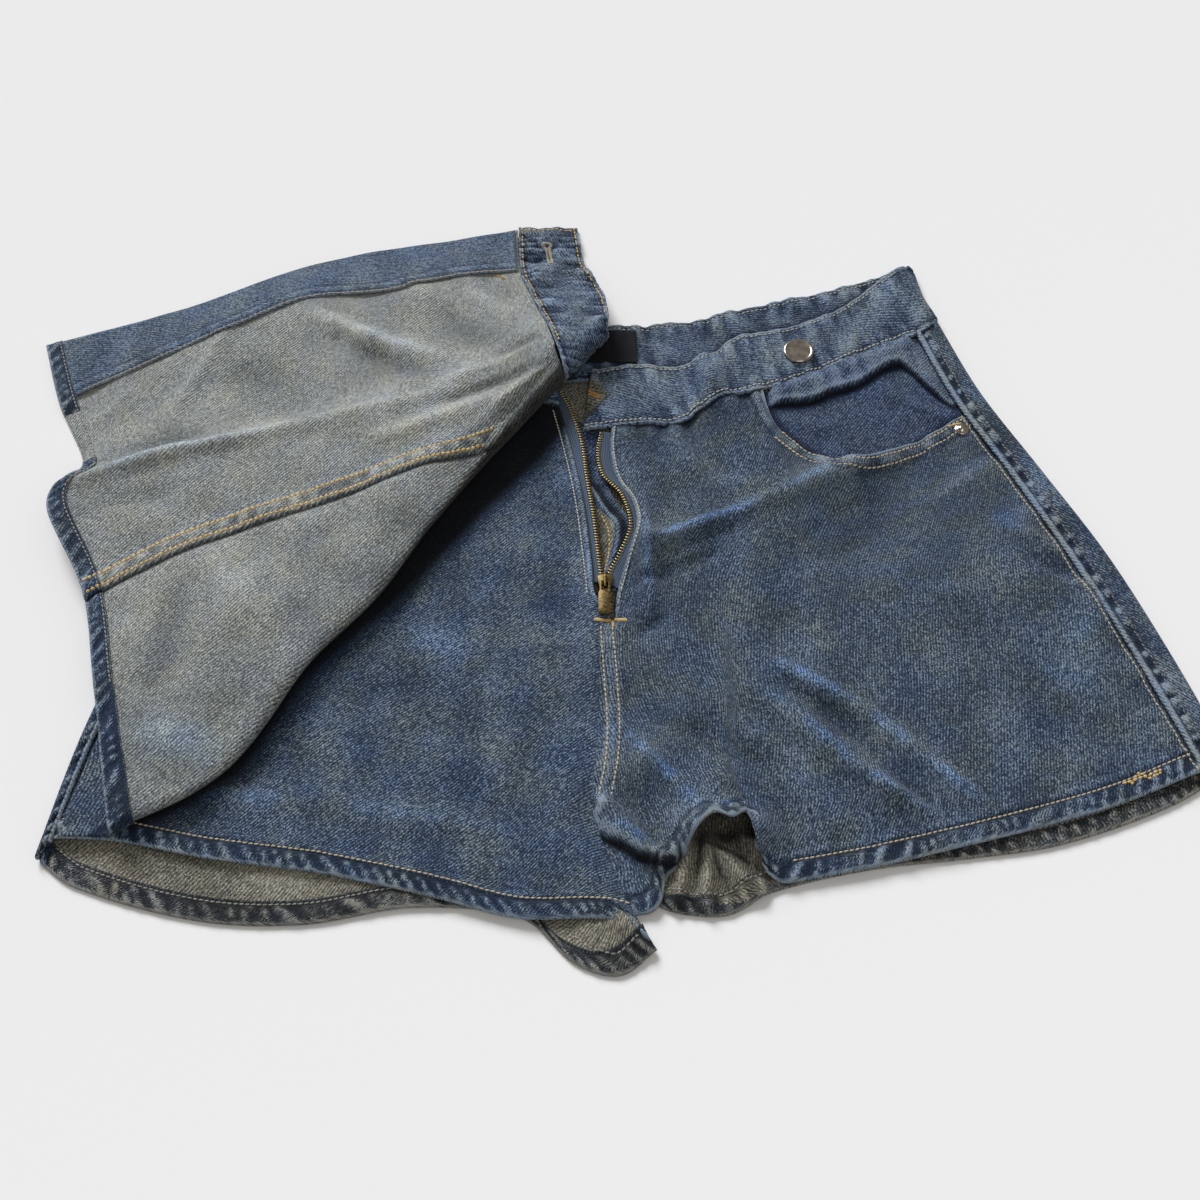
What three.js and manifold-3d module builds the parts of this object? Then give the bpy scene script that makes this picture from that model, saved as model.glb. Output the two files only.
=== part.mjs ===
// Denim skort laid flat on its back: shorts with a wrap flap that is thrown open over the left leg.
// Millimetres, +Z up. X runs across the body, Y from the hem (negative) to the waist, left is -X.
// Every cloth piece is a wall: a surface worked out from a short table, given its thickness.
import * as THREE from "three";
import { mergeVertices } from "three/addons/utils/BufferGeometryUtils.js";
import Module from "manifold-3d";

// Cloth thicknesses, and the clear gap that seams and stacked layers keep.
const cloth = 1.2;
const hemCloth = 2.4;
const bandCloth = 2.8;
const tapeCloth = 0.8;
const gap = 0.3;
const seamInset = 0.5;
const bandRest = 0.05;
const flapRest = 0.5;

// Shares of a piece's width or length that it stops short by, so that neighbours keep clear at their seams.
const seamClear = 0.002;
const footClear = 0.012;
const edgeClear = 0.005;

// Garment sizes.
const hemDepth = 13;
const sideRoll = 2.7;
const frontRest = 3.2;
const sideReach = 40;
const flyRise = { height: 1.6, from: 16, over: 26, foot: -30, length: 30 };
const centreFront = 4;
const waistRise = { height: 0.6, foot: 90, length: 40 };
const buttonDiameter = 19;
const rivetDiameter = 9;

// Where the hardware sits.
const buttonAt = { x: 124, y: 180 };
const rivetAt = { x: 219, y: 119 };
const sliderAt = { x: 3, y: 7 };

const colours = {
  face: 0x4c678c,
  backFace: 0x415a7e,
  reverse: 0x8f9aa6,
  band: 0x48638a,
  facing: 0x44608c,
  pocket: 0x3d5880,
  tape: 0x8d99a8,
  chain: 0xa08a58,
  brass: 0xb08d4a,
  button: 0xc2b7a6,
  label: 0x101114,
};

// Small helpers.

const clamp = (x, low, high) => Math.min(high, Math.max(low, x));
const smooth = (x) => clamp(x, 0, 1) ** 2 * (3 - 2 * clamp(x, 0, 1));
const mix = (a, b, t) => a.map((value, i) => value + (b[i] - value) * t);
const range = (count) => Array.from({ length: count }, (_, i) => i);
const steps = (from, to, count) => range(count + 1).map((i) => from + ((to - from) * i) / count);
const distance = (a, b) => Math.hypot(...a.map((value, i) => value - b[i]));

// A smooth curve through a few points, t from 0 to 1 along its length.
function curve(points) {
  const at = [0];
  points.slice(1).forEach((point, i) => at.push(at[i] + distance(point, points[i])));
  const total = at[at.length - 1];
  const slope = (i) => {
    const a = Math.max(i - 1, 0);
    const b = Math.min(i + 1, points.length - 1);
    return points[a].map((value, k) => (points[b][k] - value) / (at[b] - at[a]));
  };
  return (t) => {
    const s = clamp(t, 0, 1) * total;
    const found = at.findIndex((value) => value > s);
    const i = found < 0 ? points.length - 2 : found - 1;
    const span = at[i + 1] - at[i];
    const u = (s - at[i]) / span;
    const [m0, m1] = [slope(i), slope(i + 1)];
    const [h0, h1] = [(1 + 2 * u) * (1 - u) ** 2, u * (1 - u) ** 2];
    const [h2, h3] = [u * u * (3 - 2 * u), u * u * (u - 1)];
    return points[i].map(
      (value, k) => h0 * value + h1 * span * m0[k] + h2 * points[i + 1][k] + h3 * span * m1[k],
    );
  };
}

// A smooth curve through table rows, where t counts evenly from the first row to the last.
function rowCurve(rows) {
  return (t) => {
    const s = clamp(t, 0, 1) * (rows.length - 1);
    const i = Math.min(Math.floor(s), rows.length - 2);
    const u = s - i;
    const [p0, p3] = [rows[Math.max(i - 1, 0)], rows[Math.min(i + 2, rows.length - 1)]];
    return rows[i].map((p1, k) => {
      const p2 = rows[i + 1][k];
      const bend = 2 * p0[k] - 5 * p1 + 4 * p2 - p3[k];
      const twist = 3 * (p1 - p2) + p3[k] - p0[k];
      return p1 + 0.5 * u * (p2 - p0[k] + u * (bend + u * twist));
    });
  };
}

// Plan position inside four edge curves: hem and top run from side to inner, side and inner from hem to top.
function patch({ hem, top, side, inner }) {
  return (u, v) => {
    const [h, t, s, n] = [hem(u), top(u), side(v), inner(v)];
    const [h0, h1, t0, t1] = [hem(0), hem(1), top(0), top(1)];
    return [0, 1].map(
      (k) =>
        (1 - v) * h[k] + v * t[k] + (1 - u) * s[k] + u * n[k] -
        (1 - u) * ((1 - v) * h0[k] + v * t0[k]) - u * ((1 - v) * h1[k] + v * t1[k]),
    );
  };
}

// The height that soft ridges and troughs add at a place in plan.
function foldHeight(folds, x, y) {
  return folds.reduce((sum, { ax, ay, bx, by, width, height }) => {
    const [dx, dy] = [bx - ax, by - ay];
    const t = clamp(((x - ax) * dx + (y - ay) * dy) / (dx * dx + dy * dy), 0, 1);
    const away = Math.hypot(x - ax - t * dx, y - ay - t * dy) / width;
    return sum + height * Math.exp(-away * away);
  }, 0);
}

// A closed wall round a middle surface: a grid of points pushed out to both sides and joined at the edges.
function wall(surface, uValues, vValues, thickness) {
  const positions = [];
  const nudge = 1e-3;
  const columns = vValues.length;
  uValues.forEach((u) => {
    vValues.forEach((v) => {
      const middle = new THREE.Vector3(...surface(u, v));
      const along = new THREE.Vector3(...surface(Math.min(u + nudge, 1), v));
      along.sub(new THREE.Vector3(...surface(Math.max(u - nudge, 0), v)));
      const across = new THREE.Vector3(...surface(u, Math.min(v + nudge, 1)));
      across.sub(new THREE.Vector3(...surface(u, Math.max(v - nudge, 0))));
      const normal = along.cross(across).normalize();
      const half = (typeof thickness === "function" ? thickness(u, v) : thickness) / 2;
      [half, -half].forEach((push) => {
        positions.push(middle.clone().addScaledVector(normal, push));
      });
    });
  });
  const at = (i, j, face) => 2 * (i * columns + j) + face;
  const index = [];
  const quad = (a, b, c, d) => index.push(a, b, c, a, c, d);
  for (let i = 0; i + 1 < uValues.length; i += 1) {
    for (let j = 0; j + 1 < columns; j += 1) {
      quad(at(i, j, 0), at(i + 1, j, 0), at(i + 1, j + 1, 0), at(i, j + 1, 0));
      quad(at(i, j, 1), at(i, j + 1, 1), at(i + 1, j + 1, 1), at(i + 1, j, 1));
    }
  }
  const rim = [
    ...range(uValues.length - 1).map((i) => [i, 0]),
    ...range(columns - 1).map((j) => [uValues.length - 1, j]),
    ...range(uValues.length - 1).map((i) => [uValues.length - 1 - i, columns - 1]),
    ...range(columns - 1).map((j) => [0, columns - 1 - j]),
  ];
  rim.forEach(([i, j], k) => {
    const [m, n] = rim[(k + 1) % rim.length];
    quad(at(i, j, 0), at(i, j, 1), at(m, n, 1), at(m, n, 0));
  });
  const geometry = new THREE.BufferGeometry().setFromPoints(positions);
  geometry.setIndex(index);
  geometry.computeVertexNormals();
  return geometry;
}

const garment = new THREE.Group();

function add(name, geometry, color, roughness = 0.95, metalness = 0) {
  const mesh = new THREE.Mesh(geometry, new THREE.MeshStandardMaterial({ color, roughness, metalness }));
  mesh.name = name;
  garment.add(mesh);
  return mesh;
}

// Outlines of the shorts, in plan.

// Right leg, each row a level from the hem to the foot of the waistband.
const rightEdges = [
  { edgeX: 338, edgeY: -108, seamX: 319, seamY: -112 },
  { edgeX: 316, edgeY: -37, seamX: 297, seamY: -46 },
  { edgeX: 292, edgeY: 29, seamX: 271, seamY: 22 },
  { edgeX: 262, edgeY: 92, seamX: 244, seamY: 84 },
  { edgeX: 234, edgeY: 150, seamX: 217, seamY: 142 },
  { edgeX: 214, edgeY: 208, seamX: 199, seamY: 196 },
];
const leftEdges = [
  { edgeX: -291, edgeY: -161, seamX: -283, seamY: -151 },
  { edgeX: -279, edgeY: -90, seamX: -270, seamY: -88 },
  { edgeX: -262, edgeY: -25, seamX: -247, seamY: -24 },
  { edgeX: -243, edgeY: 38, seamX: -226, seamY: 40 },
  { edgeX: -225, edgeY: 102, seamX: -209, seamY: 104 },
  { edgeX: -208, edgeY: 178, seamX: -193, seamY: 176 },
];
const edgeCurve = (rows) => curve(rows.map((row) => [row.edgeX, row.edgeY]));
const seamCurve = (rows) => curve(rows.map((row) => [row.seamX, row.seamY]));

// Centre front, crotch and inner thigh, from the hem up.
const leftInner = [[25, -206], [14, -185], [4, -160], [-1, -141], [2, -125], [7, -82], [7, -20]];
const leftFly = [[-3, 0], [-5, 21], [-9, 57], [-15, 94], [-25, 139]];
const rightInner = [[29, -184], [20, -176], [9, -160], [3, -143], [4.5, -125], [8.5, -82], [8.5, -20]];
const rightFly = [[14, 5], [20, 24], [25, 44], [21, 64], [11, 86], [8, 106], [8, 122]];

const leftFrontHem = [
  [-283, -151], [-248, -152], [-205, -161], [-140, -170], [-83, -183], [-40, -194], [8, -195], [25, -206],
];
const leftBackHem = [
  [-291, -161], [-269, -176], [-204, -194], [-150, -196], [-95, -187], [-39, -193], [-12, -217],
  [10, -223], [28, -210],
];
const rightFrontHem = [
  [319, -112], [268, -132], [206, -150], [145, -165], [98, -173], [86, -165], [78, -152], [62, -147],
  [48, -152], [38, -166], [29, -184],
];
const rightBackHem = [
  [338, -108], [301, -130], [240, -152], [190, -160], [140, -166], [90, -178], [65, -191], [40, -190],
  [29, -186],
];

// Waistband edges, from the side to the centre front.
const leftBandFoot = [[-193, 176], [-150, 168], [-90, 152], [-25, 139]];
const leftBandTop = [[-202, 219], [-155, 208], [-98, 192], [-30, 178]];
const rightBandFoot = [
  [199, 196], [174, 186], [138, 168], [107, 155], [76, 146], [62, 137], [50, 127], [24, 125], [-10, 120],
];
const rightBandTop = [
  [190, 250], [166, 228], [137, 209], [106, 199], [86, 194], [70, 180], [50, 170], [20, 170], [-5, 166],
];
const backBandFoot = [[214, 208], [150, 192], [80, 172], [0, 162], [-60, 158], [-130, 160], [-208, 178]];
const backBandTop = [[200, 255], [150, 237], [94, 219], [48, 206], [0, 204], [-110, 205], [-213, 222]];

// Pocket mouth: how far up the front it lies, as a share of the front's length, against the share across it.
const pocketMouth = [
  { across: 0, up: 0.79 }, { across: 0.1, up: 0.775 }, { across: 0.22, up: 0.765 },
  { across: 0.33, up: 0.77 }, { across: 0.41, up: 0.8 }, { across: 0.47, up: 0.86 },
  { across: 0.505, up: 0.93 }, { across: 0.52, up: 1 },
];

// Heights of the shorts.

const frontFolds = [
  { ax: 95, ay: -58, bx: 150, by: -126, width: 11, height: 4.5 },
  { ax: 68, ay: -72, bx: 122, by: -140, width: 9, height: 3.5 },
  { ax: 20, ay: -112, bx: 56, by: -70, width: 10, height: 3 },
  { ax: 24, ay: 30, bx: 60, by: 52, width: 12, height: 3.5 },
  { ax: 150, ay: 92, bx: 100, by: 50, width: 20, height: 3 },
  { ax: 180, ay: 60, bx: 240, by: 10, width: 26, height: 2.5 },
  { ax: 24, ay: 66, bx: 27, by: 38, width: 11, height: 5 },
  { ax: 50, ay: -149, bx: 80, by: -149, width: 13, height: 14 },
  { ax: 62, ay: -120, bx: 66, by: -146, width: 14, height: 4 },
  { ax: 4, ay: -134, bx: 32, by: -166, width: 6, height: 6 },
  { ax: -25, ay: -40, bx: -60, by: -110, width: 18, height: 3 },
  { ax: 66, ay: 174, bx: 74, by: 144, width: 9, height: 3.5 },
];

// Rise of a front towards its side seam, where the back leg's edge rolls up under it.
const seamX = (rows, y) => {
  const found = rows.findIndex((row, i) => i > 0 && row.seamY > y);
  const i = found < 0 ? rows.length - 2 : found - 1;
  const t = clamp((y - rows[i].seamY) / (rows[i + 1].seamY - rows[i].seamY), -0.5, 1.5);
  return rows[i].seamX + (rows[i + 1].seamX - rows[i].seamX) * t;
};
const sideTop = 2 * sideRoll + cloth;
function frontUnderside(x, y) {
  const inside = x > 0 ? seamX(rightEdges, y) - x : x - seamX(leftEdges, y);
  const sideLift = (sideTop - cloth - frontRest) * (1 - smooth(inside / sideReach));
  const besideFly = smooth((Math.abs(x - centreFront) - flyRise.from) / flyRise.over);
  const flyLift = flyRise.height * (1 - besideFly) * smooth((y - flyRise.foot) / flyRise.length);
  return frontRest + sideLift + flyLift + foldHeight(frontFolds, x, y);
}

const hemThickness = (length) => (v) => (v * length < hemDepth ? hemCloth : cloth);
const hemStep = 1e-4;
const hemRun = 0.004;
const hemRows = (length, count) => {
  const hem = hemDepth / length;
  return [0, hem - hemStep, hem + hemRun, ...steps(hem, 1, count).slice(1)];
};

// Back pieces: flat on the ground, the side edge rolled up and over.

// The outermost part of a back piece: from the side seam on top, round the edge and onto the ground.
const topShare = 0.3;
function rolledSide(edge, seam, half, u) {
  const reach = distance(edge, seam);
  const place = (s) => edge.map((value, k) => value + ((seam[k] - value) * s) / reach);
  const flatTop = reach - seamInset;
  if (u < topShare) {
    return [...place(flatTop - ((flatTop - sideRoll) * u) / topShare), sideTop - half];
  }
  const turn = (Math.PI * (u - topShare)) / (1 - topShare);
  return [...place(sideRoll * (1 - Math.sin(turn))), sideTop / 2 + (sideTop / 2 - half) * Math.cos(turn)];
}
const rollSteps = [0, topShare, 0.475, 0.65, 0.825];

function backLeg(name, rows, hem, top, inner) {
  const side = edgeCurve(rows);
  const seam = seamCurve(rows);
  const plan = patch({ hem: curve(hem), top: curve(top), side, inner: curve(inner) });
  const thick = hemThickness(distance(hem[0], top[0]));
  const rollShare = 0.3;
  const surface = (u, v) => {
    const half = thick(v) / 2;
    if (u < rollShare) {
      const level = v * (1 - edgeClear);
      return rolledSide(side(level), seam(level), half, u / rollShare);
    }
    const start = sideRoll / distance(side(v), curve(inner)(v));
    const across = start + ((1 - start) * (u - rollShare)) / (1 - rollShare);
    return [...plan(across, v * (1 - seamClear)), half];
  };
  const flatSteps = [...steps(0, 0.8, 6), 0.86, 0.91, 0.95, 1].map((t) => rollShare + (1 - rollShare) * t);
  const uValues = [...rollSteps.map((u) => u * rollShare), ...flatSteps];
  const vValues = hemRows(distance(hem[0], top[0]), 8);
  return add(name, wall(surface, uValues, vValues, (u, v) => thick(v)), colours.backFace);
}

const leftBackInner = [
  [28, -210], [15, -188], [2, -162], [-4, -142], [-0.8, -120], [-0.3, -90], [-0.3, 20], [-0.2, 162],
];
const rightBackInner = [
  [29, -186], [20, -178], [11, -160], [6, -142], [0.8, -120], [0.3, -90], [0.3, 20], [0.2, 162],
];
const leftBackTop = [[-208, 178], [-130, 160], [-60, 158], [-0.2, 162]];
const rightBackTop = [[214, 208], [150, 192], [80, 172], [0.2, 162]];
backLeg("shorts_back_left", leftEdges, leftBackHem, leftBackTop, leftBackInner);
backLeg("shorts_back_right", rightEdges, rightBackHem, rightBackTop, rightBackInner);

// The back waistband lies inside up and both its ends roll over to meet the front waistbands.
function backWaistband() {
  const [foot, top] = [curve(backBandFoot), curve(backBandTop)];
  const half = bandCloth / 2;
  const wrap = 9;
  const share = 0.14;
  const beside = 0.02;
  const length = 430;
  const surface = (u, v) => {
    const across = (t) => mix(foot(t), top(t), footClear + v * (1 - footClear));
    const end = Math.min(u, 1 - u);
    const flip = u > 0.5;
    if (end < share) {
      const edge = across(flip ? 1 : 0);
      const inside = across(flip ? 1 - beside : beside);
      return rolledSide(edge, mix(edge, inside, wrap / distance(edge, inside)), half, end / share);
    }
    const start = sideRoll / length;
    return [...across(start + ((1 - 2 * start) * (u - share)) / (1 - 2 * share)), half];
  };
  const ends = rollSteps.map((u) => u * share);
  const uValues = [...ends, ...steps(share, 1 - share, 16), ...ends.map((u) => 1 - u).reverse()];
  return add("waistband_back", wall(surface, uValues, steps(0, 1, 2), bandCloth), colours.facing);
}
backWaistband();

// Front pieces.

// Above this share of its length a front's levels bend to follow the pocket mouth.
const settled = 0.5;

function frontLeg(name, rows, hem, top, inner, columns, upTo) {
  const plan = patch({ hem: curve(hem), top: curve(top), side: seamCurve(rows), inner: curve(inner) });
  const length = distance(hem[0], top[0]);
  const thick = hemThickness(length);
  const surface = (u, v) => {
    const level = v < settled ? v : settled + ((v - settled) * (upTo(u) - settled)) / (1 - settled);
    const [x, y] = plan(seamClear + (1 - edgeClear) * u, level * (1 - seamClear));
    return [x, y, frontUnderside(x, y) + thick(v) / 2];
  };
  return add(name, wall(surface, columns, hemRows(length, 11), (u, v) => thick(v)), colours.face);
}

frontLeg(
  "shorts_front_left", leftEdges, leftFrontHem, leftBandFoot, [...leftInner, ...leftFly], steps(0, 1, 15),
  () => 1,
);
const mouthCurve = curve(pocketMouth.map(({ across, up }) => [across, up]));
const mouthAt = (u) => {
  const last = pocketMouth[pocketMouth.length - 1].across;
  if (u >= last) {
    return 1;
  }
  const found = steps(0, 1, 400).find((t) => mouthCurve(t)[0] >= u);
  return mouthCurve(found)[1];
};
const rightFrontTop = [...rightBandFoot.slice(0, -2), [8, 122]];
frontLeg(
  "shorts_front_right", rightEdges, rightFrontHem, rightFrontTop, [...rightInner, ...rightFly],
  [...steps(0, 0.44, 9), 0.475, 0.5, 0.512, 0.52, ...steps(0.56, 1, 11)], mouthAt,
);

// A front waistband between its foot and its top edge, resting on what lies under it.
const bandUnderside = (x, y) => frontUnderside(x, y) + bandRest;
function band(name, foot, top, count) {
  const [footAt, topAt] = [curve(foot), curve(top)];
  const surface = (u, v) => {
    const t = edgeClear + (1 - edgeClear) * u;
    const [x, y] = mix(footAt(t), topAt(t), footClear + v * (1 - footClear));
    return [x, y, bandUnderside(x, y) + bandCloth / 2];
  };
  return add(name, wall(surface, steps(0, 1, count), steps(0, 1, 2), bandCloth), colours.band);
}
band("waistband_front_right", rightBandFoot, rightBandTop, 18);
band("waistband_front_left", leftBandFoot, leftBandTop, 10);

// Pocket facing: shows in the mouth, its lower edge tucked under the front.
const facing = { tuck: 14, cloth: 1, from: 0.012, width: 0.52, lastDip: 0.47, puff: 2.2, upTo: 0.993 };
const rightLegLength = 330;
function pocketFacing() {
  const plan = patch({
    hem: curve(rightFrontHem), top: curve(rightFrontTop),
    side: seamCurve(rightEdges), inner: curve([...rightInner, ...rightFly]),
  });
  const surface = (u, v) => {
    const across = facing.from + u * facing.width;
    const bottom = mouthAt(Math.min(across, facing.lastDip)) - facing.tuck / rightLegLength;
    const [x, y] = plan(across, bottom + (facing.upTo - bottom) * v);
    const puff = smooth((v - 0.32) / 0.3) * Math.sin(Math.PI * u) ** 0.5;
    const rest = cloth + gap + facing.cloth / 2;
    const sideRise = (sideTop - cloth - frontRest) * (1 - smooth((seamX(rightEdges, y) - x) / sideReach));
    return [x, y, rest + sideRise + facing.puff * puff];
  };
  return add("pocket_facing", wall(surface, steps(0, 1, 12), steps(0, 1, 6), facing.cloth), colours.pocket);
}
pocketFacing();

// Fly.

const flyShieldZ = 2.1;
const flyRows = {
  left: [
    { cloth: [-25, 137], teeth: [-18, 134], z: 6.6 },
    { cloth: [-18, 108], teeth: [-11, 110], z: 6.4 },
    { cloth: [-13, 82], teeth: [-7.5, 82], z: 6.2 },
    { cloth: [-9, 52], teeth: [-3.5, 54], z: 6 },
    { cloth: [-5, 20], teeth: [-0.5, 18], z: 5.6 },
  ],
  right: [
    { cloth: [8, 118], teeth: [1, 117], z: 5.6 },
    { cloth: [8, 102], teeth: [-1, 101], z: 6.2 },
    { cloth: [11, 86], teeth: [2, 84], z: 7 },
    { cloth: [21, 64], teeth: [13, 68], z: 9 },
    { cloth: [25, 44], teeth: [18, 46], z: 9 },
    { cloth: [20, 24], teeth: [11.5, 27], z: 7 },
    { cloth: [15, 12], teeth: [6.5, 18], z: 5.6 },
  ],
};
const tuck = { left: 3, right: -0.8 };
const chainWidth = 3;
const chainHeight = 2;
const chainGap = 0.5;
const tapeDrop = 0.1;

function zipSide(side, rows) {
  const edge = rowCurve(rows.map((row) => [...row.cloth, row.z]));
  const teeth = rowCurve(rows.map((row) => [...row.teeth, row.z]));
  const line = (t, s) => {
    const [a, b] = [edge(t), teeth(t)];
    const reach = distance(a.slice(0, 2), b.slice(0, 2));
    return [0, 1].map((k) => a[k] + ((b[k] - a[k]) * s) / reach);
  };
  const reachAt = (t) => distance(edge(t).slice(0, 2), teeth(t).slice(0, 2));
  const tape = (u, v) => {
    const s = -tuck[side] + (reachAt(u) - chainWidth / 2 - chainGap + tuck[side]) * v;
    const [x, y] = line(u, s);
    const low = frontUnderside(x, y) - gap - tapeDrop - tapeCloth / 2;
    return [x, y, low + (teeth(u)[2] - low) * smooth(v * 1.3 - 0.5)];
  };
  const chain = (u, v) => [...line(u, reachAt(u) + chainWidth * (v - 0.5)), teeth(u)[2]];
  const along = steps(0, 1, 3 * (rows.length - 1));
  add(`zip_tape_${side}`, wall(tape, along, steps(0, 1, 3), tapeCloth), colours.tape);
  add(`zip_chain_${side}`, wall(chain, along, [0, 1], chainHeight), colours.chain, 0.4, 0.9);
}
zipSide("left", flyRows.left);
zipSide("right", flyRows.right);

function flyShield() {
  const left = curve([[-12, 2], [-18, 50], [-24, 112]]);
  const right = curve([[3, 4], [7, 28], [11, 44], [8, 54], [3, 63], [-2, 76], [-3, 114]]);
  const surface = (u, v) => [...mix(left(v), right(v), u), flyShieldZ];
  return add("fly_shield", wall(surface, steps(0, 1, 3), steps(0, 1, 12), cloth), colours.backFace);
}
flyShield();

// The flap.

// Sections from the hem to the waist. Each runs from the free edge, lying over, to the fold and back
// under to the side seam. fold is the outermost line of the roll, radius the roll's own.
const flapSections = [
  { free: [-349, 190, 1.2], facing: [-332, 142, 2], dip: [-308, 90, 4], crest: [-321, 57, 17],
    seam: [-291, -2, 12], low: [-273, -68, 14], fold: [-252, -150], radius: 4.5 },
  { free: [-302, 207, 1.5], facing: [-287, 169, 3], dip: [-270, 104, 7], crest: [-270, 82, 17],
    seam: [-246, 26, 15], low: [-225, -48, 16], fold: [-197, -116], radius: 5.5 },
  { free: [-254, 225, 3], facing: [-236, 193, 10.5], dip: [-220, 118, 11.5], crest: [-219, 96, 18],
    seam: [-202, 47, 16], low: [-184, -10, 17], fold: [-160, -52], radius: 6 },
  { free: [-204, 247, 6.5], facing: [-187, 216, 14.5], dip: [-174, 139, 13.5], crest: [-170, 111, 19],
    seam: [-160, 66, 18], low: [-145, 22, 19], fold: [-125, -8], radius: 7 },
  { free: [-154, 265, 6], facing: [-137, 224, 13], dip: [-126, 157, 15], crest: [-121, 128, 21],
    seam: [-116, 96, 21], low: [-107, 72, 22], fold: [-91, 42], radius: 8 },
  { free: [-102, 276, 6], facing: [-93, 237, 13], dip: [-80, 183, 18], crest: [-72, 145, 24],
    seam: [-70, 114, 26], low: [-66, 102, 27], fold: [-56, 88], radius: 10 },
  { free: [-54, 291, 2.5], facing: [-51, 248, 7], dip: [-39, 208, 18], crest: [-33, 188, 26],
    seam: [-27, 169, 30], low: [-24, 160, 31], fold: [-17, 142], radius: 12 },
];
const overColumns = ["free", "facing", "dip", "crest", "seam", "low"];
const unit = (from, to) => {
  const reach = distance(from.slice(0, 2), to.slice(0, 2));
  return [0, 1].map((k) => (to[k] - from[k]) / reach);
};
const waistLift = (y) => waistRise.height * smooth((y - waistRise.foot) / waistRise.length);
const flapUnderside = (x, y) => frontUnderside(x, y) + hemCloth + flapRest + waistLift(y);
const sideStop = 0.985;
const columnCurves = Object.fromEntries(
  [...overColumns, "fold"].map((column) => [column, rowCurve(flapSections.map((row) => row[column]))]),
);
const radiusAt = rowCurve(flapSections.map((row) => [row.radius]));

// A place on the flap: v runs from hem to waist; t is 0 to 5 over, 5 to 6 onto the roll, 6 to 7 round it, and
// 7 to 8 underneath, out to the side seam.
function flapSurface(v, t, half, sideAt = seamCurve(leftEdges)) {
  const fold = columnCurves.fold(v);
  const [radius] = radiusAt(v);
  const side = sideAt(v);
  const over = overColumns.map((column) => columnCurves[column](v));
  const towards = [unit(fold, over[5]), unit(fold, side)];
  const start = fold.map((value, k) => value + radius * towards[1][k]);
  const floor = flapUnderside(...start) + half;
  const top = [...fold.map((value, k) => value + radius * towards[0][k]), floor + 2 * radius];
  if (t <= 6) {
    return rowCurve([...over, top])(t / 6);
  }
  if (t <= 7) {
    const turn = Math.PI * (t - 6);
    const out = radius * (1 - Math.sin(turn));
    const way = mix(towards[0], towards[1], smooth(t - 6));
    return [...fold.map((value, k) => value + out * way[k]), floor + radius * (1 + Math.cos(turn))];
  }
  const [x, y] = mix(start, side, (t - 7) * sideStop);
  return [x, y, flapUnderside(x, y) + half];
}

const flapLength = 375;
const flapThick = hemThickness(flapLength);
const flapRows = hemRows(flapLength, 16);
function flapPanel(name, tValues) {
  const span = tValues[tValues.length - 1];
  const surface = (u, v) => flapSurface(v * (1 - seamClear), u * span, flapThick(v) / 2);
  const uValues = tValues.map((t) => t / span);
  return add(name, wall(surface, uValues, flapRows, (u, v) => flapThick(v)), colours.reverse);
}
const panelSeam = { front: 3.99, side: 4.01 };
flapPanel("flap_front_panel", [0, 0.5, 1, 1.5, 2, 2.4, 2.8, 3.2, 3.6, panelSeam.front]);
flapPanel(
  "flap_side_panel",
  [panelSeam.side, 4.5, 5, 5.5, 6, 6.17, 6.34, 6.5, 6.66, 6.83, 7, 7.25, 7.5, 7.75, 8],
);

// Facing: a strip on the reverse along the free edge, lifted off the panel's own points.
function flapFacing() {
  const lift = flapThick(1) / 2 + gap + cloth / 2;
  const strip = { hem: 0.04, length: 0.95, edge: 0.06, width: 0.94 };
  const surface = (u, v) => {
    const [x, y, z] = flapSurface(strip.hem + v * strip.length, strip.edge + u * strip.width, 0);
    return [x, y, z + lift];
  };
  return add("flap_facing", wall(surface, steps(0, 1, 2), steps(0, 1, 16), cloth), colours.facing);
}
flapFacing();

// The flap's waistband: its free end lies beyond the waist, then it climbs, rolls over and goes under.
const flapBand = [
  { seam: [-54, 291.5, 2], top: [-15, 293, 1.8] },
  { seam: [-51, 248, 7], top: [-10, 258, 4] },
  { seam: [-39, 208, 18], top: [0, 232, 11] },
  { seam: [-33, 188, 26], top: [4, 212, 18] },
  { seam: [-26, 165, 31], top: [5, 196, 25] },
];
function flapWaistband() {
  const folds = [[-17, 142], [5, 180]];
  const radii = [12, 10.5];
  const ends = [[-190, 176], [-198, 212]];
  const half = bandCloth / 2;
  const clear = 0.2;
  const foot = 0.02;
  const station = (t, w) => {
    const over = flapBand.map((row) => mix(row.seam, row.top, w));
    const fold = mix(folds[0], folds[1], w);
    const [radius] = mix([radii[0]], [radii[1]], w);
    const side = mix(ends[0], ends[1], w);
    const towards = [unit(fold, over[4]), unit(fold, side)];
    const start = fold.map((value, k) => value + radius * towards[1][k]);
    const floor = flapUnderside(...start) + half + clear;
    const top = [...fold.map((value, k) => value + radius * towards[0][k]), floor + 2 * radius];
    if (t <= 5) {
      return rowCurve([...over, top])(t / 5);
    }
    if (t <= 6) {
      const turn = Math.PI * (t - 5);
      const out = radius * (1 - Math.sin(turn));
      const way = mix(towards[0], towards[1], smooth(t - 5));
      return [...fold.map((value, k) => value + out * way[k]), floor + radius * (1 + Math.cos(turn))];
    }
    const [x, y] = mix(start, side, t - 6);
    return [x, y, flapUnderside(x, y) + half + clear];
  };
  const tValues = [...steps(0, 5, 10), ...steps(5, 6, 6).slice(1), ...steps(6, 7, 7).slice(1)];
  const surface = (u, v) => station(u * 7, foot + v * (1 - foot));
  const uValues = tValues.map((t) => t / 7);
  return add("flap_waistband", wall(surface, uValues, steps(0, 1, 2), bandCloth), colours.facing);
}
flapWaistband();

// Hardware.

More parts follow.
